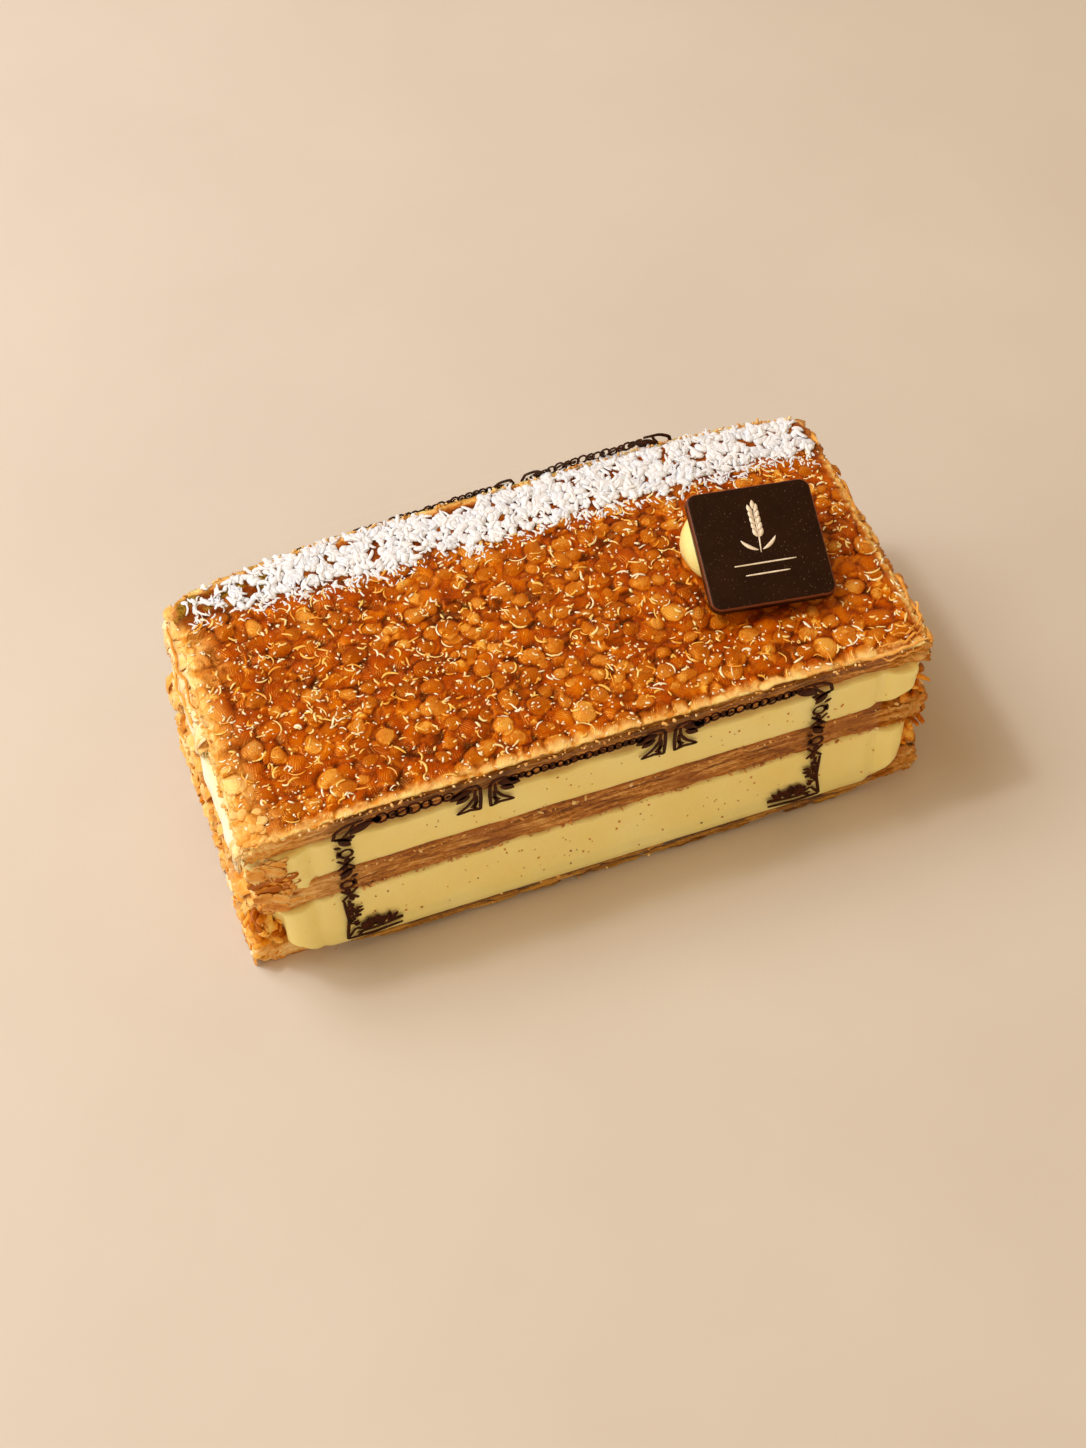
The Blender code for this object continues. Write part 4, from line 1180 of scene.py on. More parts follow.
def fringe(look):
    """Thin crinkled leaves that hang over the ends of the sheets and of the cream between them."""
    draw = np.random.default_rng(89)
    share = np.linspace(0.0, 1.0, FRINGE_ROWS)[:, None]
    side = np.linspace(-1.0, 1.0, FRINGE_COLUMNS)
    every = []
    tones = []
    halves = []
    for end, plan, levels, count, reach, drop, tone in FRINGES:
        v = draw.uniform(0.015, 0.985, (count, 1, 1))
        root = plan.point(0.0 if end < 0.0 else 1.0, v)
        if plan is TOP_PLAN and end < 0.0:
            root_y = root[:, 0, 0, 1]
            clear = (root_y <= BULGE_Y[0]) | (root_y >= BULGE_Y[1])
            v, root = v[clear], root[clear]
        each = v.shape
        z = draw.uniform(*levels, each)
        out = draw.uniform(*reach, each)
        fall = draw.uniform(*drop, each)
        half = draw.uniform(0.7, 2.1, each) * (1.0 - 0.55 * share ** 2)
        crinkle = 0.22 * np.sin(side * draw.uniform(2.0, 5.0, each) + 5.0 * share + draw.random(each) * 6.0)
        sway = draw.normal(size=each) * 0.9
        y = root[..., 1] + side * half + sway * share + 0.2 * ripple(share * 3.0, v * 91.0, 87)
        x = root[..., 0] + end * (-0.6 + (out + 0.6) * np.sin(share * 1.9) / 0.95 + crinkle * share)
        teeth = 0.5 * np.abs(np.sin(side * 4.0 + v * 37.0)) * share
        fallen = np.maximum(z - fall * share ** 1.5 + teeth, 0.3)
        grid = np.stack(np.broadcast_arrays(x, y, fallen), axis=-1)
        every.append(grid if end > 0.0 else grid[:, :, ::-1])
        tones.append(draw.uniform(*tone, each))
        halves.append(np.tile([0.07 * end, 0.0, 0.04], each + (1,)))
    grid = np.concatenate(every)
    grid[..., 1] = moved_in(grid[..., 1], MIDDLE_PLAN.corners[0][1] + 0.2, MIDDLE_PLAN.corners[2][1] - 0.2)
    tone = np.concatenate(tones) + (0.25 * share ** 3 + 0.15 * side ** 2)
    return leaf_piece("end_fringe", grid, np.concatenate(halves), tone, look)


# Smooth ridges of folded leaf along the rims: three places and the half thickness
RIDGES = (
    ((-62.2, 22.0, 37.0), (-62.7, 13.0, 36.4), (-62.3, 3.5, 36.6), 0.26),
    ((-61.4, 6.0, 37.6), (-61.9, -1.0, 37.0), (-61.5, -9.0, 37.4), 0.22),
    ((-63.1, 17.0, 33.8), (-63.5, 8.0, 33.4), (-63.2, -2.0, 32.8), 0.3),
    ((-62.0, -9.0, 36.4), (-62.3, -15.0, 35.4), (-61.9, -21.0, 36.2), 0.24),
    ((-61.8, -20.0, 35.4), (-62.1, -23.5, 34.0), (-61.4, -26.6, 34.2), 0.5),
    ((-61.4, -26.9, 37.3), (-58.8, -27.4, 37.4), (-56.4, -27.5, 37.5), 0.55),
    ((62.2, -20.0, 37.0), (62.6, -14.0, 36.6), (62.3, -8.0, 36.9), 0.4),
    ((46.0, -27.0, 38.0), (54.0, -27.8, 37.4), (61.4, -26.6, 37.6), 0.32),
    ((52.0, -26.0, 38.6), (57.6, -27.0, 38.2), (61.0, -24.4, 38.2), 0.26),
    ((50.0, -27.6, 37.0), (56.0, -27.9, 36.2), (61.8, -26.9, 36.6), 0.28),
    ((55.0, -25.0, 38.8), (59.6, -25.8, 38.6), (61.9, -22.0, 38.2), 0.22),
    ((60.6, -25.4, 37.2), (62.2, -22.4, 36.8), (62.4, -18.6, 37.2), 0.3),
    ((62.4, 4.0, 36.8), (62.8, 10.0, 36.4), (62.4, 17.0, 36.8), 0.4),
    ((61.8, -26.8, 21.4), (62.6, -22.0, 21.2), (62.7, -16.0, 21.6), 0.4),
    ((-61.6, -27.0, 21.2), (-62.0, -23.0, 21.0), (-61.8, -18.0, 21.4), 0.4),
)
RIDGE_STEPS = 20


def ridges(look):
    """Smooth rounded folds that follow the rims for a short way."""
    draw = np.random.default_rng(85)
    share = np.linspace(0.0, 1.0, RIDGE_STEPS)
    spines = []
    radii = []
    for start, middle, end, half in RIDGES:
        bent = np.outer((1.0 - share) ** 2, start) + np.outer(2.0 * share * (1.0 - share), middle)
        bent += np.outer(share ** 2, end)
        sway = 0.7 * ripple(share * 5.0, half * 31.0, 90)[:, None] * np.array([1.0, 1.0, 0.5])
        spines.append(bent + sway)
        taper = np.sin(math.pi * mix(0.08, 0.92, share)) ** 0.5
        radii.append(half * (taper + 0.15 * ripple(share * 7.0, half * 17.0, 91)))
    points, faces = strands(np.array(spines), np.array(radii), 10, flat=0.75)
    tones = draw.uniform(0.2, 0.5, len(points))
    return make("rim_folds", points, faces, look, traits=tones_each(tones, points))


PEBBLES = 34
PEBBLE_PLACE = ((-62.2, -27.0), (-58.2, -20.6))


def pebbles(caramel, look):
    """Pale flat lumps that lie side by side at the front left corner of the crust."""
    draw = np.random.default_rng(98)
    low, high = np.array(PEBBLE_PLACE)
    place = low + (high - low) * draw.random((PEBBLES, 2))
    level = caramel.level(place[:, 0], place[:, 1])
    radii = draw.uniform(0.65, 1.1, (PEBBLES, 1)) * np.array([1.15, 0.9, 0.24])
    points, faces, tone = blobs(np.column_stack([place, level - 0.04]), radii, 99, 2, 0.1)
    return make("corner_pebbles", points, faces, look, traits={"tone": 0.2 + 0.3 * tone})


# Places where amber plates and curls lie: low corner, high corner, number, and their mean length
SHARD_POCKETS = (
    ((-61.6, -25.6, 17.0), (-59.4, -21.0, 28.5), 18, 4.0),
    ((-60.6, -27.2, 7.0), (-58.2, -21.0, 15.0), 8, 4.4),
    ((58.5, -27.2, 23.0), (61.8, -21.0, 30.5), 10, 4.0),
    ((59.0, -27.2, 7.0), (62.0, -21.0, 15.0), 12, 4.0),
    ((-61.6, 18.0, 23.0), (-58.0, 25.0, 30.5), 18, 4.4),
    ((-61.6, 18.0, 7.0), (-58.0, 25.0, 15.0), 18, 4.4),
    ((57.5, 21.0, 23.0), (61.4, 27.4, 30.5), 18, 4.4),
    ((57.5, 21.0, 7.0), (61.2, 27.4, 15.0), 18, 4.4),
    ((-63.0, -26.6, 1.0), (-61.6, 25.5, 5.6), 26, 4.2),
    ((-62.0, -26.8, 16.6), (-60.6, 25.5, 22.0), 26, 4.2),
    ((61.6, -26.8, 1.0), (62.8, 27.0, 5.6), 46, 3.6),
    ((61.4, -26.8, 16.6), (62.8, 27.0, 22.0), 46, 3.6),
)
SHARD_STEPS = 8
SHARD_SHAPE = np.array([0.3, 0.8, 1.0, 0.9, 1.0, 0.85, 0.6, 0.15])


def shards(look):
    """Curled plates of caramelised leaf that lie in the open corners and on the torn ends."""
    draw = np.random.default_rng(86)
    pockets = [(draw.uniform(low, high, (count, 3)), np.full(count, length))
               for low, high, count, length in SHARD_POCKETS]
    centres = np.concatenate([pocket[0] for pocket in pockets])
    lengths = np.concatenate([pocket[1] for pocket in pockets]) * draw.uniform(0.5, 1.2, len(centres))
    count = len(centres)
    heading = math.tau / 4.0 + draw.normal(size=count) * 0.7
    pitch = draw.normal(size=count) * 0.45
    level = np.cos(pitch)
    along = np.stack([np.cos(heading) * level, np.sin(heading) * level, np.sin(pitch)], axis=-1)
    across = np.cross(along, draw.normal(size=(count, 3)) + np.array([0.0, 0.0, 1.2]))
    across /= np.linalg.norm(across, axis=1)[:, None]
    normal = np.cross(along, across)
    share = np.linspace(-1.0, 1.0, SHARD_STEPS)[None]
    arc = share * draw.uniform(0.3, 1.5, count)[:, None]
    ripples = 0.12 * np.sin(4.0 * share + draw.random((count, 1)) * math.tau)
    bend = np.maximum(np.abs(arc).max(axis=1), 0.3)[:, None]
    sweep = np.sin(arc) / bend * 0.5
    rise = (np.cos(arc) - 1.0) / bend * 0.5 + ripples * 0.3
    way = sweep[..., None] * along[:, None] + rise[..., None] * normal[:, None]
    spine = centres[:, None] + lengths[:, None, None] * way
    tangent = np.gradient(spine, axis=1)
    tangent /= np.linalg.norm(tangent, axis=-1)[..., None]
    wide = across[:, None] * (draw.uniform(0.6, 1.5, count)[:, None] * SHARD_SHAPE)[..., None]
    thick = np.cross(tangent, across[:, None]) * 0.1
    spine[..., 2] = np.maximum(spine[..., 2], 1.0)
    points, faces = ribbons(spine, wide, thick)
    points[..., 2] = np.maximum(points[..., 2], 0.1)
    return make("amber_shards", points, faces, look, traits=tones_each(draw.random(count), points))


# Places where thick rolled leaves lie: low corner, high corner, number, length and half thickness
FOLD_POCKETS = (
    ((-61.6, -26.4, 22.4), (-57.5, -19.0, 28.0), 16, (3.0, 6.0), (0.35, 0.6)),
    ((-62.8, -26.4, 5.6), (-58.6, -18.0, 13.5), 34, (5.0, 9.0), (0.6, 0.95)),
    ((-63.6, -26.2, 0.9), (-61.0, -17.0, 6.4), 26, (5.0, 9.0), (0.55, 0.9)),
    ((59.0, -27.0, 22.8), (61.8, -19.0, 29.0), 16, (3.0, 6.0), (0.35, 0.6)),
    ((59.6, -27.0, 5.8), (62.4, -18.0, 14.5), 26, (4.0, 8.0), (0.4, 0.7)),
    ((-61.6, 17.0, 6.2), (-58.0, 25.0, 15.6), 24, (3.0, 6.0), (0.35, 0.6)),
    ((-61.6, 19.0, 23.0), (-59.0, 25.0, 31.0), 18, (3.0, 6.0), (0.35, 0.6)),
    ((57.5, 20.0, 6.2), (61.6, 27.6, 15.6), 24, (3.0, 6.0), (0.35, 0.6)),
    ((57.5, 20.0, 23.0), (61.6, 27.6, 31.0), 24, (3.0, 6.0), (0.35, 0.6)),
    ((-61.4, -18.0, 6.4), (-60.2, 17.0, 15.6), 70, (3.0, 6.0), (0.35, 0.6)),
    ((60.2, -18.0, 6.4), (61.2, 20.0, 15.6), 70, (3.0, 6.0), (0.35, 0.6)),
    ((60.4, -18.0, 22.8), (61.4, 20.0, 26.0), 40, (3.0, 6.0), (0.3, 0.5)),
)
FOLD_STEPS = 12


def folds(look):
    """Thick folded and rolled leaves at the ends, between and under the layers of cream."""
    draw = np.random.default_rng(88)
    share = np.linspace(-1.0, 1.0, FOLD_STEPS)[None]
    spines = []
    radii = []
    for low, high, count, length, half in FOLD_POCKETS:
        centres = draw.uniform(low, high, (count, 3))
        heading = math.tau / 4.0 + draw.normal(size=count) * 0.45
        x, y = bent_lines(draw, centres[:, :2], heading, draw.uniform(*length, count), 0.9, FOLD_STEPS)
        slope, sag = draw.normal(size=(count, 1)), draw.normal(size=(count, 1))
        z = centres[:, 2:] + slope * share + sag * 0.8 * share ** 2
        y = moved_in(y, low[1] - 0.8, high[1] + 1.5)
        spines.append(np.stack([x, y, np.clip(z, low[2], high[2])], axis=-1))
        taper = 1.0 - 0.5 * np.abs(share) ** 4 + 0.12 * np.sin(7.0 * share + draw.random((count, 1)) * 6.0)
        radii.append(draw.uniform(*half, count)[:, None] * taper)
    points, faces = strands(np.concatenate(spines), np.concatenate(radii), 7)
    tones = draw.random(len(points))
    return make("folded_leaves", points, faces, look, traits=tones_each(tones, points))


# Leaves in front of the upper cream's left end: number, roots' low and high x and z, headings and tones
LAPPING = (
    (26, (-62.8, 16.8), (-58.8, 28.0), (-8.0, 50.0), (-0.25, 0.35)),
    (20, (-63.0, 30.6), (-59.6, 32.4), (-50.0, -4.0), (0.15, 0.45)),
)
LAPPING_ROWS = 9
LAPPING_COLUMNS = 5


def lapping_leaves(look):
    """Pointed crinkled leaves at the front left corner, which lap over the end of the upper cream."""
    draw = np.random.default_rng(100)
    grids = []
    tones = []
    share = np.linspace(0.0, 1.0, LAPPING_ROWS)[:, None]
    side = np.linspace(-1.0, 1.0, LAPPING_COLUMNS)
    for count, low, high, headings, tone in LAPPING:
        each = (count, 1, 1)
        root = draw.uniform(low, high, (count, 2))
        heading = np.radians(draw.uniform(*headings, each)) + 0.3 * draw.normal(size=each) * share
        along = draw.uniform(2.6, 5.4, each) * share
        scallops = 1.0 + 0.14 * np.sin(16.0 * share + draw.random(each) * math.tau)
        width = draw.uniform(0.7, 1.6, each) * np.sin(math.pi * mix(0.16, 0.97, share)) ** 0.7 * scallops
        x = root[:, :1, None] + along * np.cos(heading) - side * width * np.sin(heading)
        z = root[:, 1:, None] + along * np.sin(heading) + side * width * np.cos(heading)
        crinkle = 0.16 * np.sin(side * 4.0 + 7.0 * share + draw.random(each) * math.tau)
        y = UPPER_CREAM_PLAN.corners[0][1] - 0.2 - draw.uniform(0.1, 1.0, each)
        y = y + crinkle + 0.5 * (1.0 - share)
        x = moved_in(x, -63.4, FRONT_FILM_X[0] - 0.5)
        grids.append(np.stack(np.broadcast_arrays(x, y, moved_in(z, 16.6, 32.6)), axis=-1))
        tones.append(draw.uniform(*tone, each) + 0.25 * side ** 2)
    half = np.array([0.0, -0.07, 0.0])
    return leaf_piece("lapping_leaves", np.concatenate(grids), half, np.concatenate(tones), look)


FOOT_LEAVES = 48


def foot_leaves(look):
    """Thin leaves of the bottom sheet that show below the smear of cream in front."""
    draw = np.random.default_rng(93)
    share = np.linspace(-1.0, 1.0, FOLD_STEPS)[None]
    middle = np.linspace(-42.0, 50.0, FOOT_LEAVES)[:, None]
    x = middle + draw.uniform(2.5, 5.0, (FOOT_LEAVES, 1)) * share
    y = -29.2 - 0.3 * draw.random((FOOT_LEAVES, 1)) + 0.15 * ripple(x / 2.0, 0.5, 94)
    z = 0.6 + 1.7 * draw.random((FOOT_LEAVES, 1)) + 0.2 * ripple(x / 1.6, 3.5, 94)
    radii = draw.uniform(0.3, 0.5, (FOOT_LEAVES, 1)) * (1.0 - 0.7 * share ** 4)
    points, faces = strands(np.stack([x, y, z], axis=-1), radii, 8, flat=0.7)
    tones = draw.random(len(points))
    return make("foot_leaves", points, faces, look, traits=tones_each(tones, points))


# Crumbs: number, low and high corner
CRUMBS = (
    (130, (-50.0, -28.2, 15.8), (58.0, -27.9, 16.5)),
    (90, (-50.0, -28.2, 22.2), (58.0, -27.9, 22.6)),
    (50, (-52.0, -29.9, 0.3), (58.0, -28.3, 2.6)),
    (120, (-60.0, -27.9, 36.9), (61.0, -27.3, 37.7)),
)
BACK_RIM_CRUMBS = 240


def crumbs(look):
    """Crumbs on the cut faces' edges, at the back rim and at the foot."""
    draw = np.random.default_rng(91)
    groups = [draw.uniform(low, high, (count, 3)) for count, low, high in CRUMBS]
    back = TOP_PLAN.point(draw.uniform(0.02, 0.98, BACK_RIM_CRUMBS), 0.992)
    groups.append(np.column_stack([back, draw.uniform(37.6, 38.5, BACK_RIM_CRUMBS)]))
    centres = np.concatenate(groups)
    radii = 0.1 + 0.22 * draw.random((len(centres), 1)) ** 2 * np.ones(3)
    radii[:, 0] *= draw.uniform(1.0, 2.4, len(centres))
    points, faces, tone = blobs(centres, radii, 92, 1, 0.25)
    return make("crumbs", points, faces, look, traits={"tone": tone})


FOOT_OUT = 1.8
FOOT_TOP = 18.0
FOOT_BOTTOM = 2.6
PRESSED_SIDE = ((-5.0, 0.0), (-2.6, 0.0), (-1.2, 0.01), (-0.6, 0.04), (-0.2, 0.12), (0.0, 0.4),
                (0.0, 0.7), (-0.1, 0.97), (-3.2, 1.0))
# Offset and height share of each ring at the left and right ends of the two layers of cream
UPPER_ENDS = (
    ((-5.0, 0.0), (-2.6, 0.0), (-1.7, 0.03), (-0.9, 0.1), (-0.3, 0.22), (0.0, 0.45), (-0.2, 0.7),
     (-1.3, 0.95), (-3.2, 1.0)),
    ((-7.0, 0.0), (-5.6, 0.0), (-4.2, 0.12), (-3.0, 0.22), (-1.6, 0.4), (-0.4, 0.6), (0.0, 0.8),
     (-0.2, 0.97), (-3.2, 1.0)),
)
LOWER_ENDS = (
    ((-5.0, 0.0), (-3.2, 0.0), (-2.4, 0.04), (-1.8, 0.1), (-1.2, 0.24), (-0.6, 0.5), (-0.2, 0.78),
     (0.0, 0.97), (-3.2, 1.0)),
    ((-6.0, 0.0), (-4.0, 0.0), (-3.0, 0.04), (-1.6, 0.12), (-0.6, 0.24), (0.0, 0.5), (-0.1, 0.72),
     (-0.9, 0.97), (-3.2, 1.0)),
)
LOBE = (-52.9, 1.5, 2.4)                     # x, half width and drop of the lobe over the middle sheet
UPPER_CREAM_ROUND = (4.0, 7.0, 9.0, 9.0)
LOWER_CREAM_ROUND = (4.0, 5.0, 5.0, 5.0)
RIGHT_LIFT = 4.0                             # how far the upper cream's right end curls up from the sheet
CREAM_OVERLAP = 0.28                         # how far a layer of cream reaches into the sheets


def lean(z):
    """How far the front face leans out at a height, over the smear of the lower cream."""
    return FOOT_OUT * np.maximum(0.0, 1.0 - np.asarray(z, float) / FOOT_TOP) ** 1.2


CREAM_RINGS = 33


def at(step, profile, column):
    """A column of a profile read between its rows."""
    return np.interp(step, np.arange(len(profile)), [row[column] for row in profile])


def cream_layer(name, plan, levels, corner, ends, node, seed, look, smeared=False):
    """A layer of cream, free at its ends and pressed flat at front and back."""
    low, high = levels[0] - CREAM_OVERLAP, levels[1] + CREAM_OVERLAP
    place, outward = plan.outline(corner, 0.5)
    flat = smooth(0.75, 1.0, np.abs(outward[:, 1]))
    right = smooth(-30.0, 30.0, place[:, 0])
    along = place[:, 0] + 1.37 * place[:, 1]
    smear = ((-5.0, low), (-1.0, low), (0.8, low - 0.2), (1.0, FOOT_BOTTOM - 0.1),
             (lean(3.0), FOOT_BOTTOM + 0.4), (lean(8.0), 8.0), (lean(12.0), 12.0),
             (lean(high) - 0.1, high - 0.2), (-3.2, high))
    rings = []
    for step in np.linspace(0.0, len(PRESSED_SIDE) - 1.0, CREAM_RINGS):
        offset, share = (
            mix(mix(at(step, ends[0], k), at(step, ends[1], k), right), at(step, PRESSED_SIDE, k), flat)
            for k in (0, 1)
        )
        z = mix(low, high, share)
        if smeared:
            front = outward[:, 1] < 0.0
            hang = (1.0 - smooth(51.8, 57.0, np.abs(place[:, 0]))) * front
            reach = flat * (1.0 - smooth(55.6, 59.0, np.abs(place[:, 0]))) * front
            offset = mix(offset, at(step, smear, 0), reach)
            z = mix(z, at(step, smear, 1), hang)
        else:
            tip = np.exp(-np.abs((place[:, 0] - LOBE[0]) / LOBE[1]) ** 1.5) * (outward[:, 1] < -0.9)
            low_down = float(1.0 - smooth(2.0, 7.0, step)) * float(smooth(0.0, 1.5, step))
            z = z - LOBE[2] * tip * low_down + RIGHT_LIFT * smooth(51.0, 61.0, place[:, 0]) * (1.0 - share)
            offset = offset + 0.3 * tip * low_down
        swell = 0.5 * ripple(along / 13.0, step / 2.5, seed) + 0.2 * ripple(along / 4.5, step / 1.5, seed + 1)
        rim = 0.4 if step < 4.0 else 7.4
        edge_wave = 0.75 * ripple(along / 7.0, rim, seed + 2) + 0.35 * ripple(along / 2.4, rim, seed + 3)
        edge_wave = edge_wave * abs(step / 4.0 - 1.0) * flat
        pressed = flat * (1.0 - 0.5 * smooth(51.0, 57.0, np.abs(place[:, 0])))
        free = np.minimum(place[:, 0] - FRONT_FILM_X[0], FRONT_FILM_X[1] - place[:, 0])
        pinched = 0.7 * smooth(-0.4, -3.0, free) - 0.5 * np.exp(-((free - 0.3) / 0.9) ** 2)
        pinched = pinched * (outward[:, 1] < -0.9)
        offset = offset + pinched * smooth(0.5, 2.0, step) * (1.0 - smooth(7.0, 8.0, step))
        spot = place + outward * (offset + swell * mix(1.0, 0.12, pressed))[:, None]
        rings.append(np.concatenate([spot, (z + edge_wave)[:, None]], axis=1))
    points, faces = shell(np.array(rings))
    overlit = 1.0 - smooth(-64.0, -61.6, points[:, 0])
    return make(name, points, faces, look, [node], {"overlit": overlit})


# The dollop's shares of its height and of its radius from foot to head
DOLLOP_SHAPE = ((0.0, 0.86), (0.12, 0.97), (0.3, 1.0), (0.5, 1.0), (0.7, 0.96), (0.85, 0.88), (0.95, 0.78),
                (1.0, 0.66))
DOLLOP_SIDES = 72


def dollop(look):
    """A spooned dollop of cream, flattened on top by the plaque that leans on it."""
    low = TOP_FACE - 0.3
    turn = np.arange(DOLLOP_SIDES) * math.tau / DOLLOP_SIDES
    rings = []
    for share, spread in DOLLOP_SHAPE:
        swell = 1.0 + 0.05 * np.sin(2.0 * turn + 0.6) + 0.03 * np.sin(3.0 * turn)
        swell += 0.02 * np.sin(7.0 * turn + 5.0 * share)
        x = DOLLOP_CENTRE[0] + DOLLOP_RADII[0] * spread * swell * np.cos(turn)
        y = DOLLOP_CENTRE[1] + DOLLOP_RADII[1] * spread * swell * np.sin(turn)
        rings.append(np.stack([x, y, mix(low, plaque_underside(x, y) - 0.02, share)], axis=-1))
    points, faces = shell(np.array(rings))
    return make("plaque_cream", points, faces, look, ["cream_dollop"])


# Specks in each layer of cream: number, low and high level
SPECKS = ((84, LOWER_CREAM_LOW - 2.0, 15.4), (56, 23.1, 31.8))


def specks(look):
    """Vanilla specks in the faces of the cream."""
    draw = np.random.default_rng(95)
    groups = []
    for count, low, high in SPECKS:
        z = draw.uniform(low, high, count)
        x = draw.uniform(-56.0, 57.0, count)
        groups.append(np.stack([x, -28.18 - lean(z) * (high < 20.0), z], axis=-1))
        back = UPPER_CREAM_PLAN.point(draw.uniform(0.08, 0.92, count), 1.0) - (0.0, 0.02)
        groups.append(np.column_stack([back, draw.uniform(high - 8.0, high - 0.6, count)]))
    centres = np.concatenate(groups)
    radii = (0.11 + 0.15 * draw.random((len(centres), 1)) ** 2) * np.array([1.0, 0.8, 1.0])
    points, faces, _ = blobs(centres, radii, 96, 1, 0.2, turns=np.zeros(len(centres)))
    return make("vanilla_specks", points, faces, look)


def on_plaque(x, y, lift):
    """Points on the plaque's upper face from its own x and y."""
    local = np.stack(np.broadcast_arrays(x, y, lift), axis=-1)
    return local @ np.array(PLAQUE_TURN).T + PLAQUE_CENTRE


def plaque(look):
    """The square chocolate plaque with round corners and softened rims."""
    profile = [(PLAQUE_EDGE, -PLAQUE_THICK), (0.3, -PLAQUE_THICK + 0.05), (0.0, -PLAQUE_THICK + 0.35)]
    profile.append((0.0, -0.9))
    for turn in np.linspace(0.0, math.tau / 4.0, 6):
        profile.append((PLAQUE_EDGE * (1.0 - math.cos(turn)), PLAQUE_EDGE * (math.sin(turn) - 1.0)))
    profile.append((PLAQUE_EDGE + 0.3, 0.02))
    plan = Plan(((-1.0, -1.0), (1.0, -1.0), (1.0, 1.0), (-1.0, 1.0)), back_bow=0.0)
    plan.corners = plan.corners * PLAQUE_SIDE / 2.0
    plan.length = plan.width = PLAQUE_SIDE
    place, outward = plan.outline(PLAQUE_CORNER, 0.35)
    chips = 0.06 * np.maximum(0.0, ripple(place[:, 0] / 1.3, place[:, 1] / 1.3, 97))
    rings = []
    rim = []
    for inset, z in profile:
        spot = place - outward * (inset + chips * (z > -1.0))[:, None]
        rings.append(on_plaque(spot[:, 0], spot[:, 1], np.full(len(spot), z)))
        rim.append(np.full(len(spot), 1.0 if -0.42 < z < -0.03 else 0.0))
    points, faces = shell(np.array(rings))
    traits = {"rim": np.concatenate([*rim, [0.0, 0.0]])}
    return make("plaque", points, faces, look, ["chocolate_plaque"], traits)


STROKE_STEPS = 11


class Drawing:
    """Strokes in a plane, each a crooked line with its half widths; their places count from an origin."""

    def __init__(self, x=0.0, z=0.0):
        self.origin = np.array([x, z])
        self.lines = []
        self.widths = []
        self.share = np.linspace(0.0, 1.0, STROKE_STEPS)

    def stroke(self, points, widths):
        self.lines.append(points)
        self.widths.append(widths)

    def line(self, points, width, taper=0.25):
        """A stroke through a few points, rounded between them."""
        points = self.origin + points
        knots = np.linspace(0.0, 1.0, len(points))
        line = np.column_stack([np.interp(self.share, knots, points[:, axis]) for axis in (0, 1)])
        self.stroke(line, width * mix(taper, 1.0, np.sin(math.pi * self.share) ** 0.5))

    def ring(self, centre, radius, start, width, squash=1.0):
        """A ring that overlaps itself a little; angles in degrees."""
        turn = np.radians(start + 375.0 * self.share)
        way = radius * np.column_stack([np.cos(turn), squash * np.sin(turn)])
        self.stroke(self.origin + centre + way, width * mix(0.6, 1.0, np.sin(math.pi * self.share) ** 0.5))

    def leaf(self, root, heading, length, width, bend=0.0):
        """A pointed leaf that bends to one side; angles in degrees."""
        turn = np.radians(heading + bend * (self.share - 0.3))
        steps = np.column_stack([np.cos(turn), np.sin(turn)]) * length / STROKE_STEPS
        line = self.origin + root + np.cumsum(steps, axis=0)
        self.stroke(line, width * np.sin(math.pi * self.share) ** 0.8 + 0.03)

    def dot(self, centre, radius):
        across = np.linspace(-1.0, 1.0, STROKE_STEPS)
        line = self.origin + centre + np.column_stack([across * radius, np.zeros(STROKE_STEPS)])
        self.stroke(line, radius * np.sqrt(1.0 - across ** 2 * 0.98))

    def fan(self, root, headings, length, width, bend=0.0):
        for heading in headings:
            self.leaf(root, heading, length, width, bend)

    def mirrored(self, middle):
        """The same drawing turned over a vertical line."""
        other = Drawing()
        other.lines = [line * (-1.0, 1.0) + (2.0 * middle, 0.0) for line in self.lines]
        other.widths = list(self.widths)
        return other

    def add(self, other):
        self.lines += other.lines
        self.widths += other.widths

    def strips(self, surface, low, high):
        """Closed strips on a surface, which turns places and a lift into points."""
        lines = np.array(self.lines)
        along = np.gradient(lines, axis=1)
        along /= np.maximum(np.linalg.norm(along, axis=-1), 1e-6)[..., None]
        across = np.stack([-along[..., 1], along[..., 0]], axis=-1) * np.array(self.widths)[..., None]
        sides = np.stack([lines - across, lines + across], axis=2)
        return surface(sides[..., 0], sides[..., 1], high), surface(sides[..., 0], sides[..., 1], low)


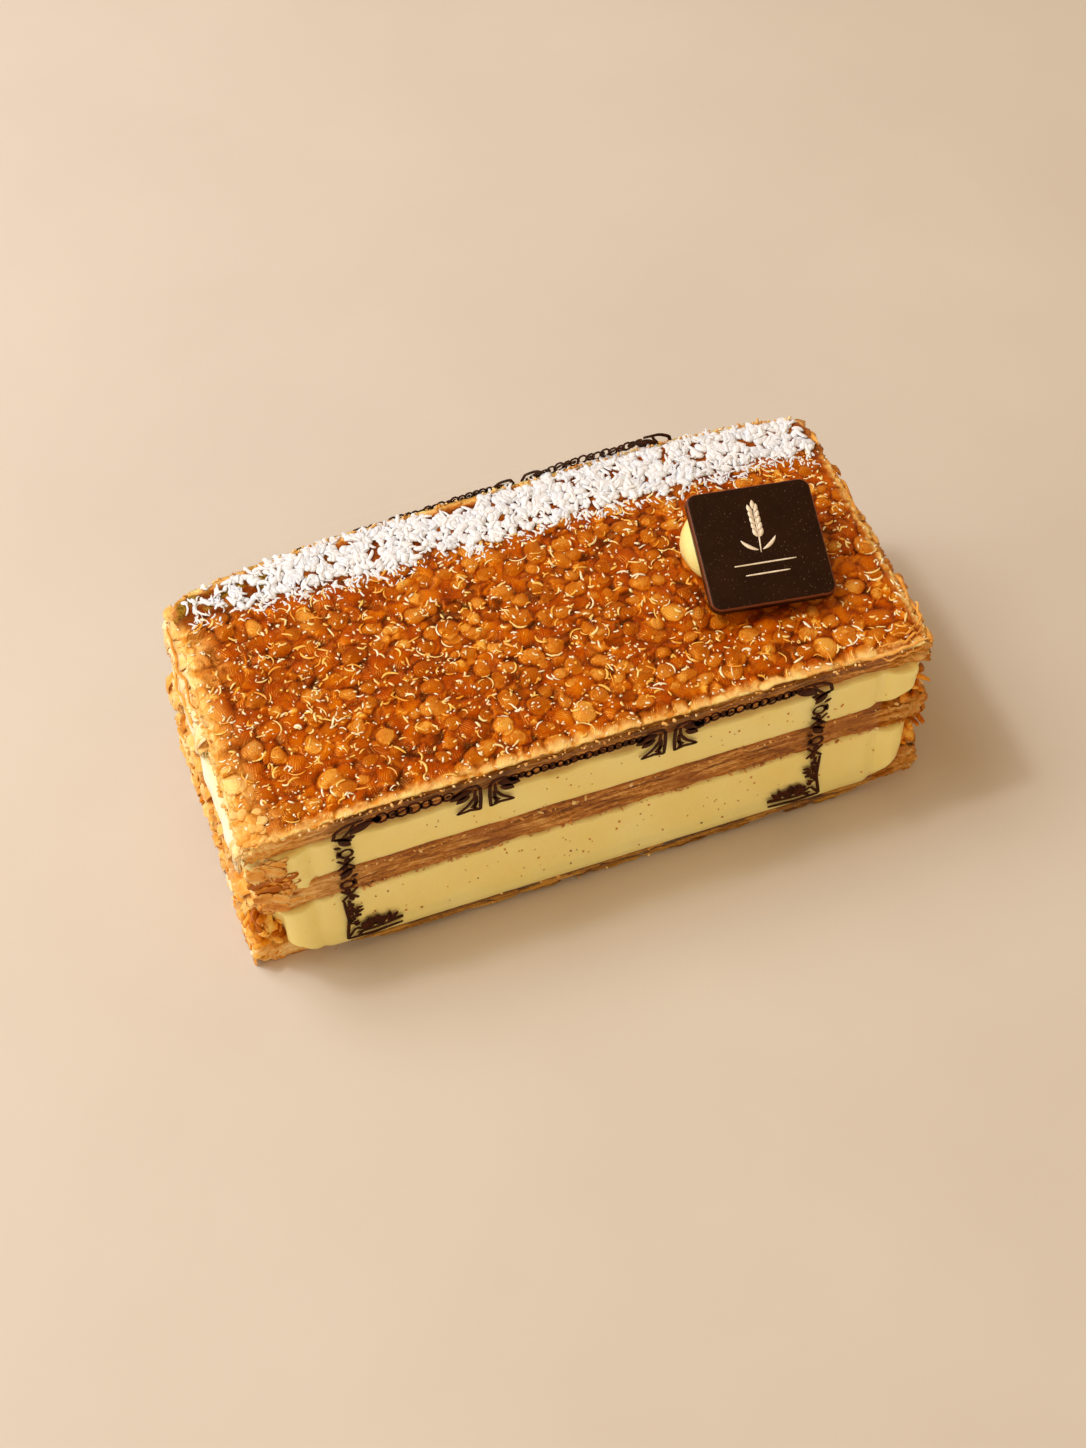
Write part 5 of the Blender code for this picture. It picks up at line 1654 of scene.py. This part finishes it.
def column(x, top, bottom):
    """A climbing ornament: dark leaves, crossed stems and open rings on top of each other."""
    whole = Drawing()
    count = max(3, int(round((top - bottom) / 2.9)))
    step = (top - bottom) / count
    for number in range(count):
        side = 1.0 if number % 2 else -1.0
        part = Drawing(x, top - step * (number + 0.5))
        if number % 3 == 0:
            part.leaf((-side * 1.5, -1.3), 90.0 - side * 42.0, 3.8, 0.85, side * 20.0)
            part.line([(side * 1.5, 1.4), (side * 0.2, 1.3), (-side * 1.4, 0.2)], 0.34, 0.5)
            part.leaf((side * 0.4, -1.4), 90.0 - side * 60.0, 1.7, 0.38)
        elif number % 3 == 1:
            part.ring((side * 0.2, 0.0), 1.15, 20.0, 0.34)
            part.leaf((-side * 1.6, -0.9), 90.0 - side * 20.0, 2.2, 0.4, side * 50.0)
        else:
            part.line([(-1.5, 1.5), (0.0, 0.0), (1.5, -1.4)], 0.32, 0.8)
            part.line([(1.5, 1.5), (0.0, 0.0), (-1.5, -1.4)], 0.32, 0.8)
            part.leaf((-side * 0.1, 0.2), 90.0 + side * 12.0, 1.7, 0.6)
            part.leaf((side * 0.1, -0.2), 270.0 + side * 12.0, 1.7, 0.6)
        whole.add(part)
    return whole


def chain(left, right, z, size):
    """A garland of rings, some of them filled, along the frame's upper line."""
    whole = Drawing()
    draw = random.Random(int(100.0 * (right - left)))
    x = left
    while x < right:
        ring = size * draw.uniform(0.75, 1.15)
        kind = draw.random()
        part = Drawing(x, z + draw.uniform(-0.25, 0.25))
        part.ring((0.0, 0.0), ring, 40.0, 0.3, squash=1.1)
        if kind < 0.35:
            part.dot((0.0, 0.0), 0.5 * ring)
        elif kind < 0.6:
            part.leaf((-ring, -0.4 * ring), 25.0, 2.0 * ring, 0.3)
        elif kind < 0.8:
            part.leaf((-0.3 * ring, -ring), 100.0, 1.9 * ring, 0.34, 40.0)
        whole.add(part)
        x += 1.55 * ring + 0.25
    return whole


def bracket(x, top):
    """The ornament left of a break in the upper line: a dark leaf in an arch over a pointed foot."""
    drawing = Drawing(x, top)
    drawing.line([(-5.0, -1.6), (-2.6, 0.1), (-0.6, 0.0), (0.0, -1.2)], 0.36, 0.8)
    drawing.line([(0.0, -0.9), (0.05, -4.0), (-0.1, -7.2)], 0.34, 0.9)
    drawing.leaf((-0.9, -0.9), 196.0, 4.8, 1.15, 16.0)
    drawing.leaf((-1.5, -2.2), 206.0, 3.2, 0.8, 12.0)
    drawing.line([(-0.9, -1.0), (-1.0, -3.2), (-2.2, -5.1), (-4.3, -6.9)], 0.34, 0.6)
    drawing.line([(-4.3, -6.9), (-1.8, -6.6), (0.0, -7.2)], 0.36, 0.5)
    drawing.leaf((-0.5, -2.4), 262.0, 4.2, 0.34)
    drawing.line([(-0.4, -4.6), (-1.6, -5.8), (-0.6, -6.6)], 0.26, 0.7)
    return drawing


def corner_top(x, top):
    """The rounded upper left corner of the frame: an open leaf beside a dark one."""
    drawing = Drawing(x, top)
    drawing.line([(0.0, -3.6), (0.5, -1.5), (2.4, -0.3), (5.6, 0.0)], 0.36, 0.8)
    drawing.line([(0.0, -3.4), (1.6, -3.7), (3.0, -2.1), (3.8, -0.5)], 0.32, 0.7)
    drawing.leaf((2.6, -3.6), 36.0, 5.4, 1.1, -30.0)
    drawing.leaf((1.4, -4.2), 8.0, 2.6, 0.6, 20.0)
    drawing.dot((7.8, -0.9), 0.9)
    drawing.leaf((5.6, -0.2), -14.0, 2.0, 0.45)
    return drawing


LACE_STROKES = 44


def lace(x, foot):
    """A triangle of small dots and leaves that narrows upwards."""
    drawing = Drawing(x, foot)
    draw = random.Random(33)
    for number in range(LACE_STROKES):
        height = draw.random()
        spot = (draw.random() * mix(3.6, 0.9, height), height * 7.4)
        if number % 2:
            drawing.dot(spot, draw.uniform(0.26, 0.4))
        else:
            drawing.leaf(spot, draw.uniform(0.0, 360.0), draw.uniform(1.0, 1.6), 0.3, 60.0)
    return drawing


def corner_bottom(x, foot):
    """The lower left corner: a lace triangle, a crown-like boss, a sprig and lines along the foot."""
    drawing = Drawing(x, foot)
    drawing.add(lace(x + 0.2, foot + 2.4))
    drawing.line([(-0.2, 10.4), (0.2, 5.0), (-0.5, 0.0)], 0.32, 0.8)
    drawing.line([(-0.5, 0.0), (1.2, 2.4), (3.0, 1.4), (1.2, 0.0)], 0.3, 0.7)
    drawing.fan((4.6, 1.4), (38.0, 74.0, 110.0, 150.0), 2.9, 0.85, 10.0)
    drawing.fan((6.9, 1.3), (12.0, 44.0, 76.0), 3.0, 0.42, 10.0)
    drawing.line([(-0.5, 0.0), (4.4, -0.15), (9.6, 0.3)], 0.36, 0.7)
    drawing.line([(1.2, 1.0), (5.0, 1.05), (9.8, 1.6)], 0.32, 0.6)
    return drawing


FRAME_LEFT, FRAME_RIGHT = -47.9, 42.5
FRAME_TOP = FILM_HIGH.z / MM - 1.0
FILM_HIGH_BACK = heights("film_back")[1]
FRAME_FOOT = 4.4
FRAME_BREAKS = ((-22.0, -20.3), (11.3, 13.1))
FRAME_MIDDLE = (FRAME_LEFT + FRAME_RIGHT) / 2.0
CHAIN_LEVEL = FRAME_TOP - 0.9
CHAIN_RINGS = (1.15, 0.72, 0.85)             # mean radius of the rings in each stretch of the upper line


def printed_frame():
    """The scroll frame that is printed on the films."""
    drawing = Drawing()
    left = corner_top(FRAME_LEFT, FRAME_TOP)
    left.add(corner_bottom(FRAME_LEFT + 0.8, FRAME_FOOT))
    left.add(column(FRAME_LEFT + 1.8, FRAME_TOP - 3.6, FRAME_FOOT + 10.4))
    drawing.add(left)
    drawing.add(left.mirrored(FRAME_MIDDLE))
    chain_start = FRAME_LEFT + 8.6
    for (end, start), ring in zip(FRAME_BREAKS, CHAIN_RINGS):
        drawing.add(bracket(end, FRAME_TOP))
        drawing.add(bracket(start, FRAME_TOP).mirrored(start))
        drawing.add(chain(chain_start, end - 4.4, CHAIN_LEVEL, ring))
        chain_start = start + 4.4
    drawing.add(chain(chain_start, FRAME_RIGHT - 8.6, CHAIN_LEVEL, CHAIN_RINGS[-1]))
    return drawing


def on_front_film(x, z, lift):
    """Points on the outer face of the front film."""
    return np.stack([x, FRONT_FILM_Y - lean(z) - FILM_THICK - lift, z], axis=-1)


BACK_PRINT_SHIFT = (-5.5, 0.9)
BACK_PRINT_TILT = 0.045                      # the print stands higher towards the right


def on_back_film(x, z, lift):
    """Points on the outer face of the back film, which follows the back side's bow."""
    x = x + BACK_PRINT_SHIFT[0]
    left, right = TOP_PLAN.corners[3][0], TOP_PLAN.corners[2][0]
    back = TOP_PLAN.point((x - left) / (right - left), np.ones_like(x))
    z = np.minimum(z + BACK_PRINT_SHIFT[1] + BACK_PRINT_TILT * x, FILM_HIGH_BACK - 0.3)
    return np.stack([x, back[..., 1] + 0.45 + FILM_THICK + lift, z], axis=-1)


def film_print(name, surface, look, turned=False):
    upper, lower = printed_frame().strips(surface, 0.01, 0.06)
    if turned:
        upper, lower = upper[:, :, ::-1], lower[:, :, ::-1]
    points, faces = slabs(upper, lower)
    return make(name, points, faces, look)


def plaque_print(look):
    """A plain ear of wheat over two plain rules."""
    drawing = Drawing()
    drawing.line([(-0.3, -1.6), (0.1, 2.4), (0.2, 6.6)], 0.13, 0.5)
    for row in range(5):
        z = 1.2 + row * 1.15
        drawing.leaf((0.05, z), 62.0, 2.1, 0.36, 34.0)
        drawing.leaf((0.05, z), 118.0, 2.1, 0.36, -34.0)
    drawing.leaf((0.2, 6.5), 88.0, 2.0, 0.36)
    drawing.leaf((-0.25, -1.2), 28.0, 4.0, 0.3, 40.0)
    drawing.leaf((-0.25, -1.2), 152.0, 4.0, 0.3, -40.0)
    drawing.line([(-5.6, -3.6), (0.0, -3.6), (5.6, -3.6)], 0.14, 0.6)
    drawing.line([(-4.0, -5.6), (0.0, -5.6), (4.0, -5.6)], 0.14, 0.6)
    upper, lower = drawing.strips(on_plaque, 0.0, 0.1)
    points, faces = slabs(upper, lower)
    return make("plaque_print", points, faces, look)


def dress_films(look):
    for node in ("film_front", "film_back"):
        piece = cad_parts[node]
        piece.data.materials.clear()
        piece.data.materials.append(look)


EYE_TARGET = np.array([-2.27, -5.41, 15.0])
EYE_DISTANCE = 433.8
EYE_AZIMUTH = math.radians(-20.22)
EYE_ELEVATION = math.radians(53.87)
FOCAL_PIXELS = 2400.0
PHOTO_HEIGHT = 1448.0
SENSOR = 36.0


def away(azimuth, elevation):
    """Direction from the target towards the eye; azimuth 0 stands in front."""
    return np.array([math.sin(azimuth) * math.cos(elevation), -math.cos(azimuth) * math.cos(elevation),
                     math.sin(elevation)])


def camera():
    data = bpy.data.cameras.new("camera")
    data.sensor_width = SENSOR
    data.lens = FOCAL_PIXELS / PHOTO_HEIGHT * SENSOR
    data.clip_start = 0.01
    eye = bpy.data.objects.new("camera", data)
    bpy.context.scene.collection.objects.link(eye)
    back = away(EYE_AZIMUTH, EYE_ELEVATION)
    eye.location = (EYE_TARGET + back * EYE_DISTANCE + SHIFT) * MM
    eye.rotation_euler = Vector(-back).to_track_quat("-Z", "Y").to_euler()
    bpy.context.scene.camera = eye


LAMP_DISTANCE = 0.9
# Soft square lamps: azimuth, elevation, size in metres, power and colour
LAMPS = {
    "key": (-128.0, 55.0, 0.5, 4.3, (0.94, 0.97, 1.0)),
    "side": (-98.0, 22.0, 0.4, 1.9, (1.0, 0.96, 0.88)),
    "glint": (-118.0, 62.0, 0.08, 1.4, (1.0, 0.98, 0.94)),
    "fill": (-8.0, 16.0, 0.6, 1.5, (1.0, 0.88, 0.66)),
}
WORLD_COLOUR = (1.0, 0.67, 0.36, 1.0)
WORLD_STRENGTH = 0.52
FLOOR_REACH = 1.6


def lamp(name, azimuth, elevation, size, power, colour):
    """A square soft light that looks at the middle of the slice."""
    data = bpy.data.lights.new(name, "AREA")
    data.size = size
    data.energy = power
    data.color = colour
    light = bpy.data.objects.new(name, data)
    bpy.context.scene.collection.objects.link(light)
    back = Vector(away(math.radians(azimuth), math.radians(elevation)))
    light.location = back * LAMP_DISTANCE
    light.rotation_euler = (-back).to_track_quat("-Z", "Y").to_euler()


def studio():
    """A pale floor, a large soft key from the back left and warm light from all round."""
    for name, values in LAMPS.items():
        lamp(name, *values)
    world = bpy.data.worlds.new("studio")
    world.use_nodes = True
    background = world.node_tree.nodes["Background"]
    background.inputs["Color"].default_value = WORLD_COLOUR
    background.inputs["Strength"].default_value = WORLD_STRENGTH
    bpy.context.scene.world = world
    bpy.context.scene.view_settings.view_transform = "Standard"
    mesh = bpy.data.meshes.new("floor")
    corners = [(x * FLOOR_REACH, y * FLOOR_REACH, 0.0) for x, y in ((-1, -1), (1, -1), (1, 1), (-1, 1))]
    mesh.from_pydata(corners, [], [(0, 1, 2, 3)])
    mesh.materials.append(floor_look())
    floor = bpy.data.objects.new("floor", mesh)
    bpy.context.scene.collection.objects.link(floor)


def build():
    pastry = pastry_look()
    caramel = Caramel()
    flaky_sheet("bottom_sheet", BOTTOM_PLAN, BOTTOM_SHEET, 52, "pastry_bottom", pastry)
    flaky_sheet("middle_sheet", MIDDLE_PLAN, MIDDLE_SHEET, 57, "pastry_middle", pastry)
    top_crust(caramel, caramel_look())
    curls(caramel, curl_and_glint_look())
    glint_beads(caramel, glint_bead_look())
    sugar(caramel, sugar_look())
    torn = flake_look()
    end_leaves(torn)
    fringe(torn)
    ridges(torn)
    pebbles(caramel, torn)
    shards(shard_look())
    lapping_leaves(torn)
    foot_leaves(foot_look())
    folds(roll_look())
    crumbs(crumb_look())
    cream_layer("lower_cream", LOWER_CREAM_PLAN, (LOWER_CREAM_LOW, LOWER_CREAM[1]), LOWER_CREAM_ROUND,
                LOWER_ENDS, "cream_lower", 101, cream_look("lower_vanilla_cream"), smeared=True)
    cream_layer("upper_cream", UPPER_CREAM_PLAN, UPPER_CREAM, UPPER_CREAM_ROUND, UPPER_ENDS, "cream_upper",
                105, cream_look("upper_vanilla_cream"))
    dollop(cream_look("spooned_cream"))
    specks(speck_look())
    plaque(chocolate_look())
    plaque_print(icing_look())
    ink = ink_look()
    film_print("front_print", on_front_film, ink)
    film_print("back_print", on_back_film, ink, turned=True)
    dress_films(film_look())


camera()
studio()
build()
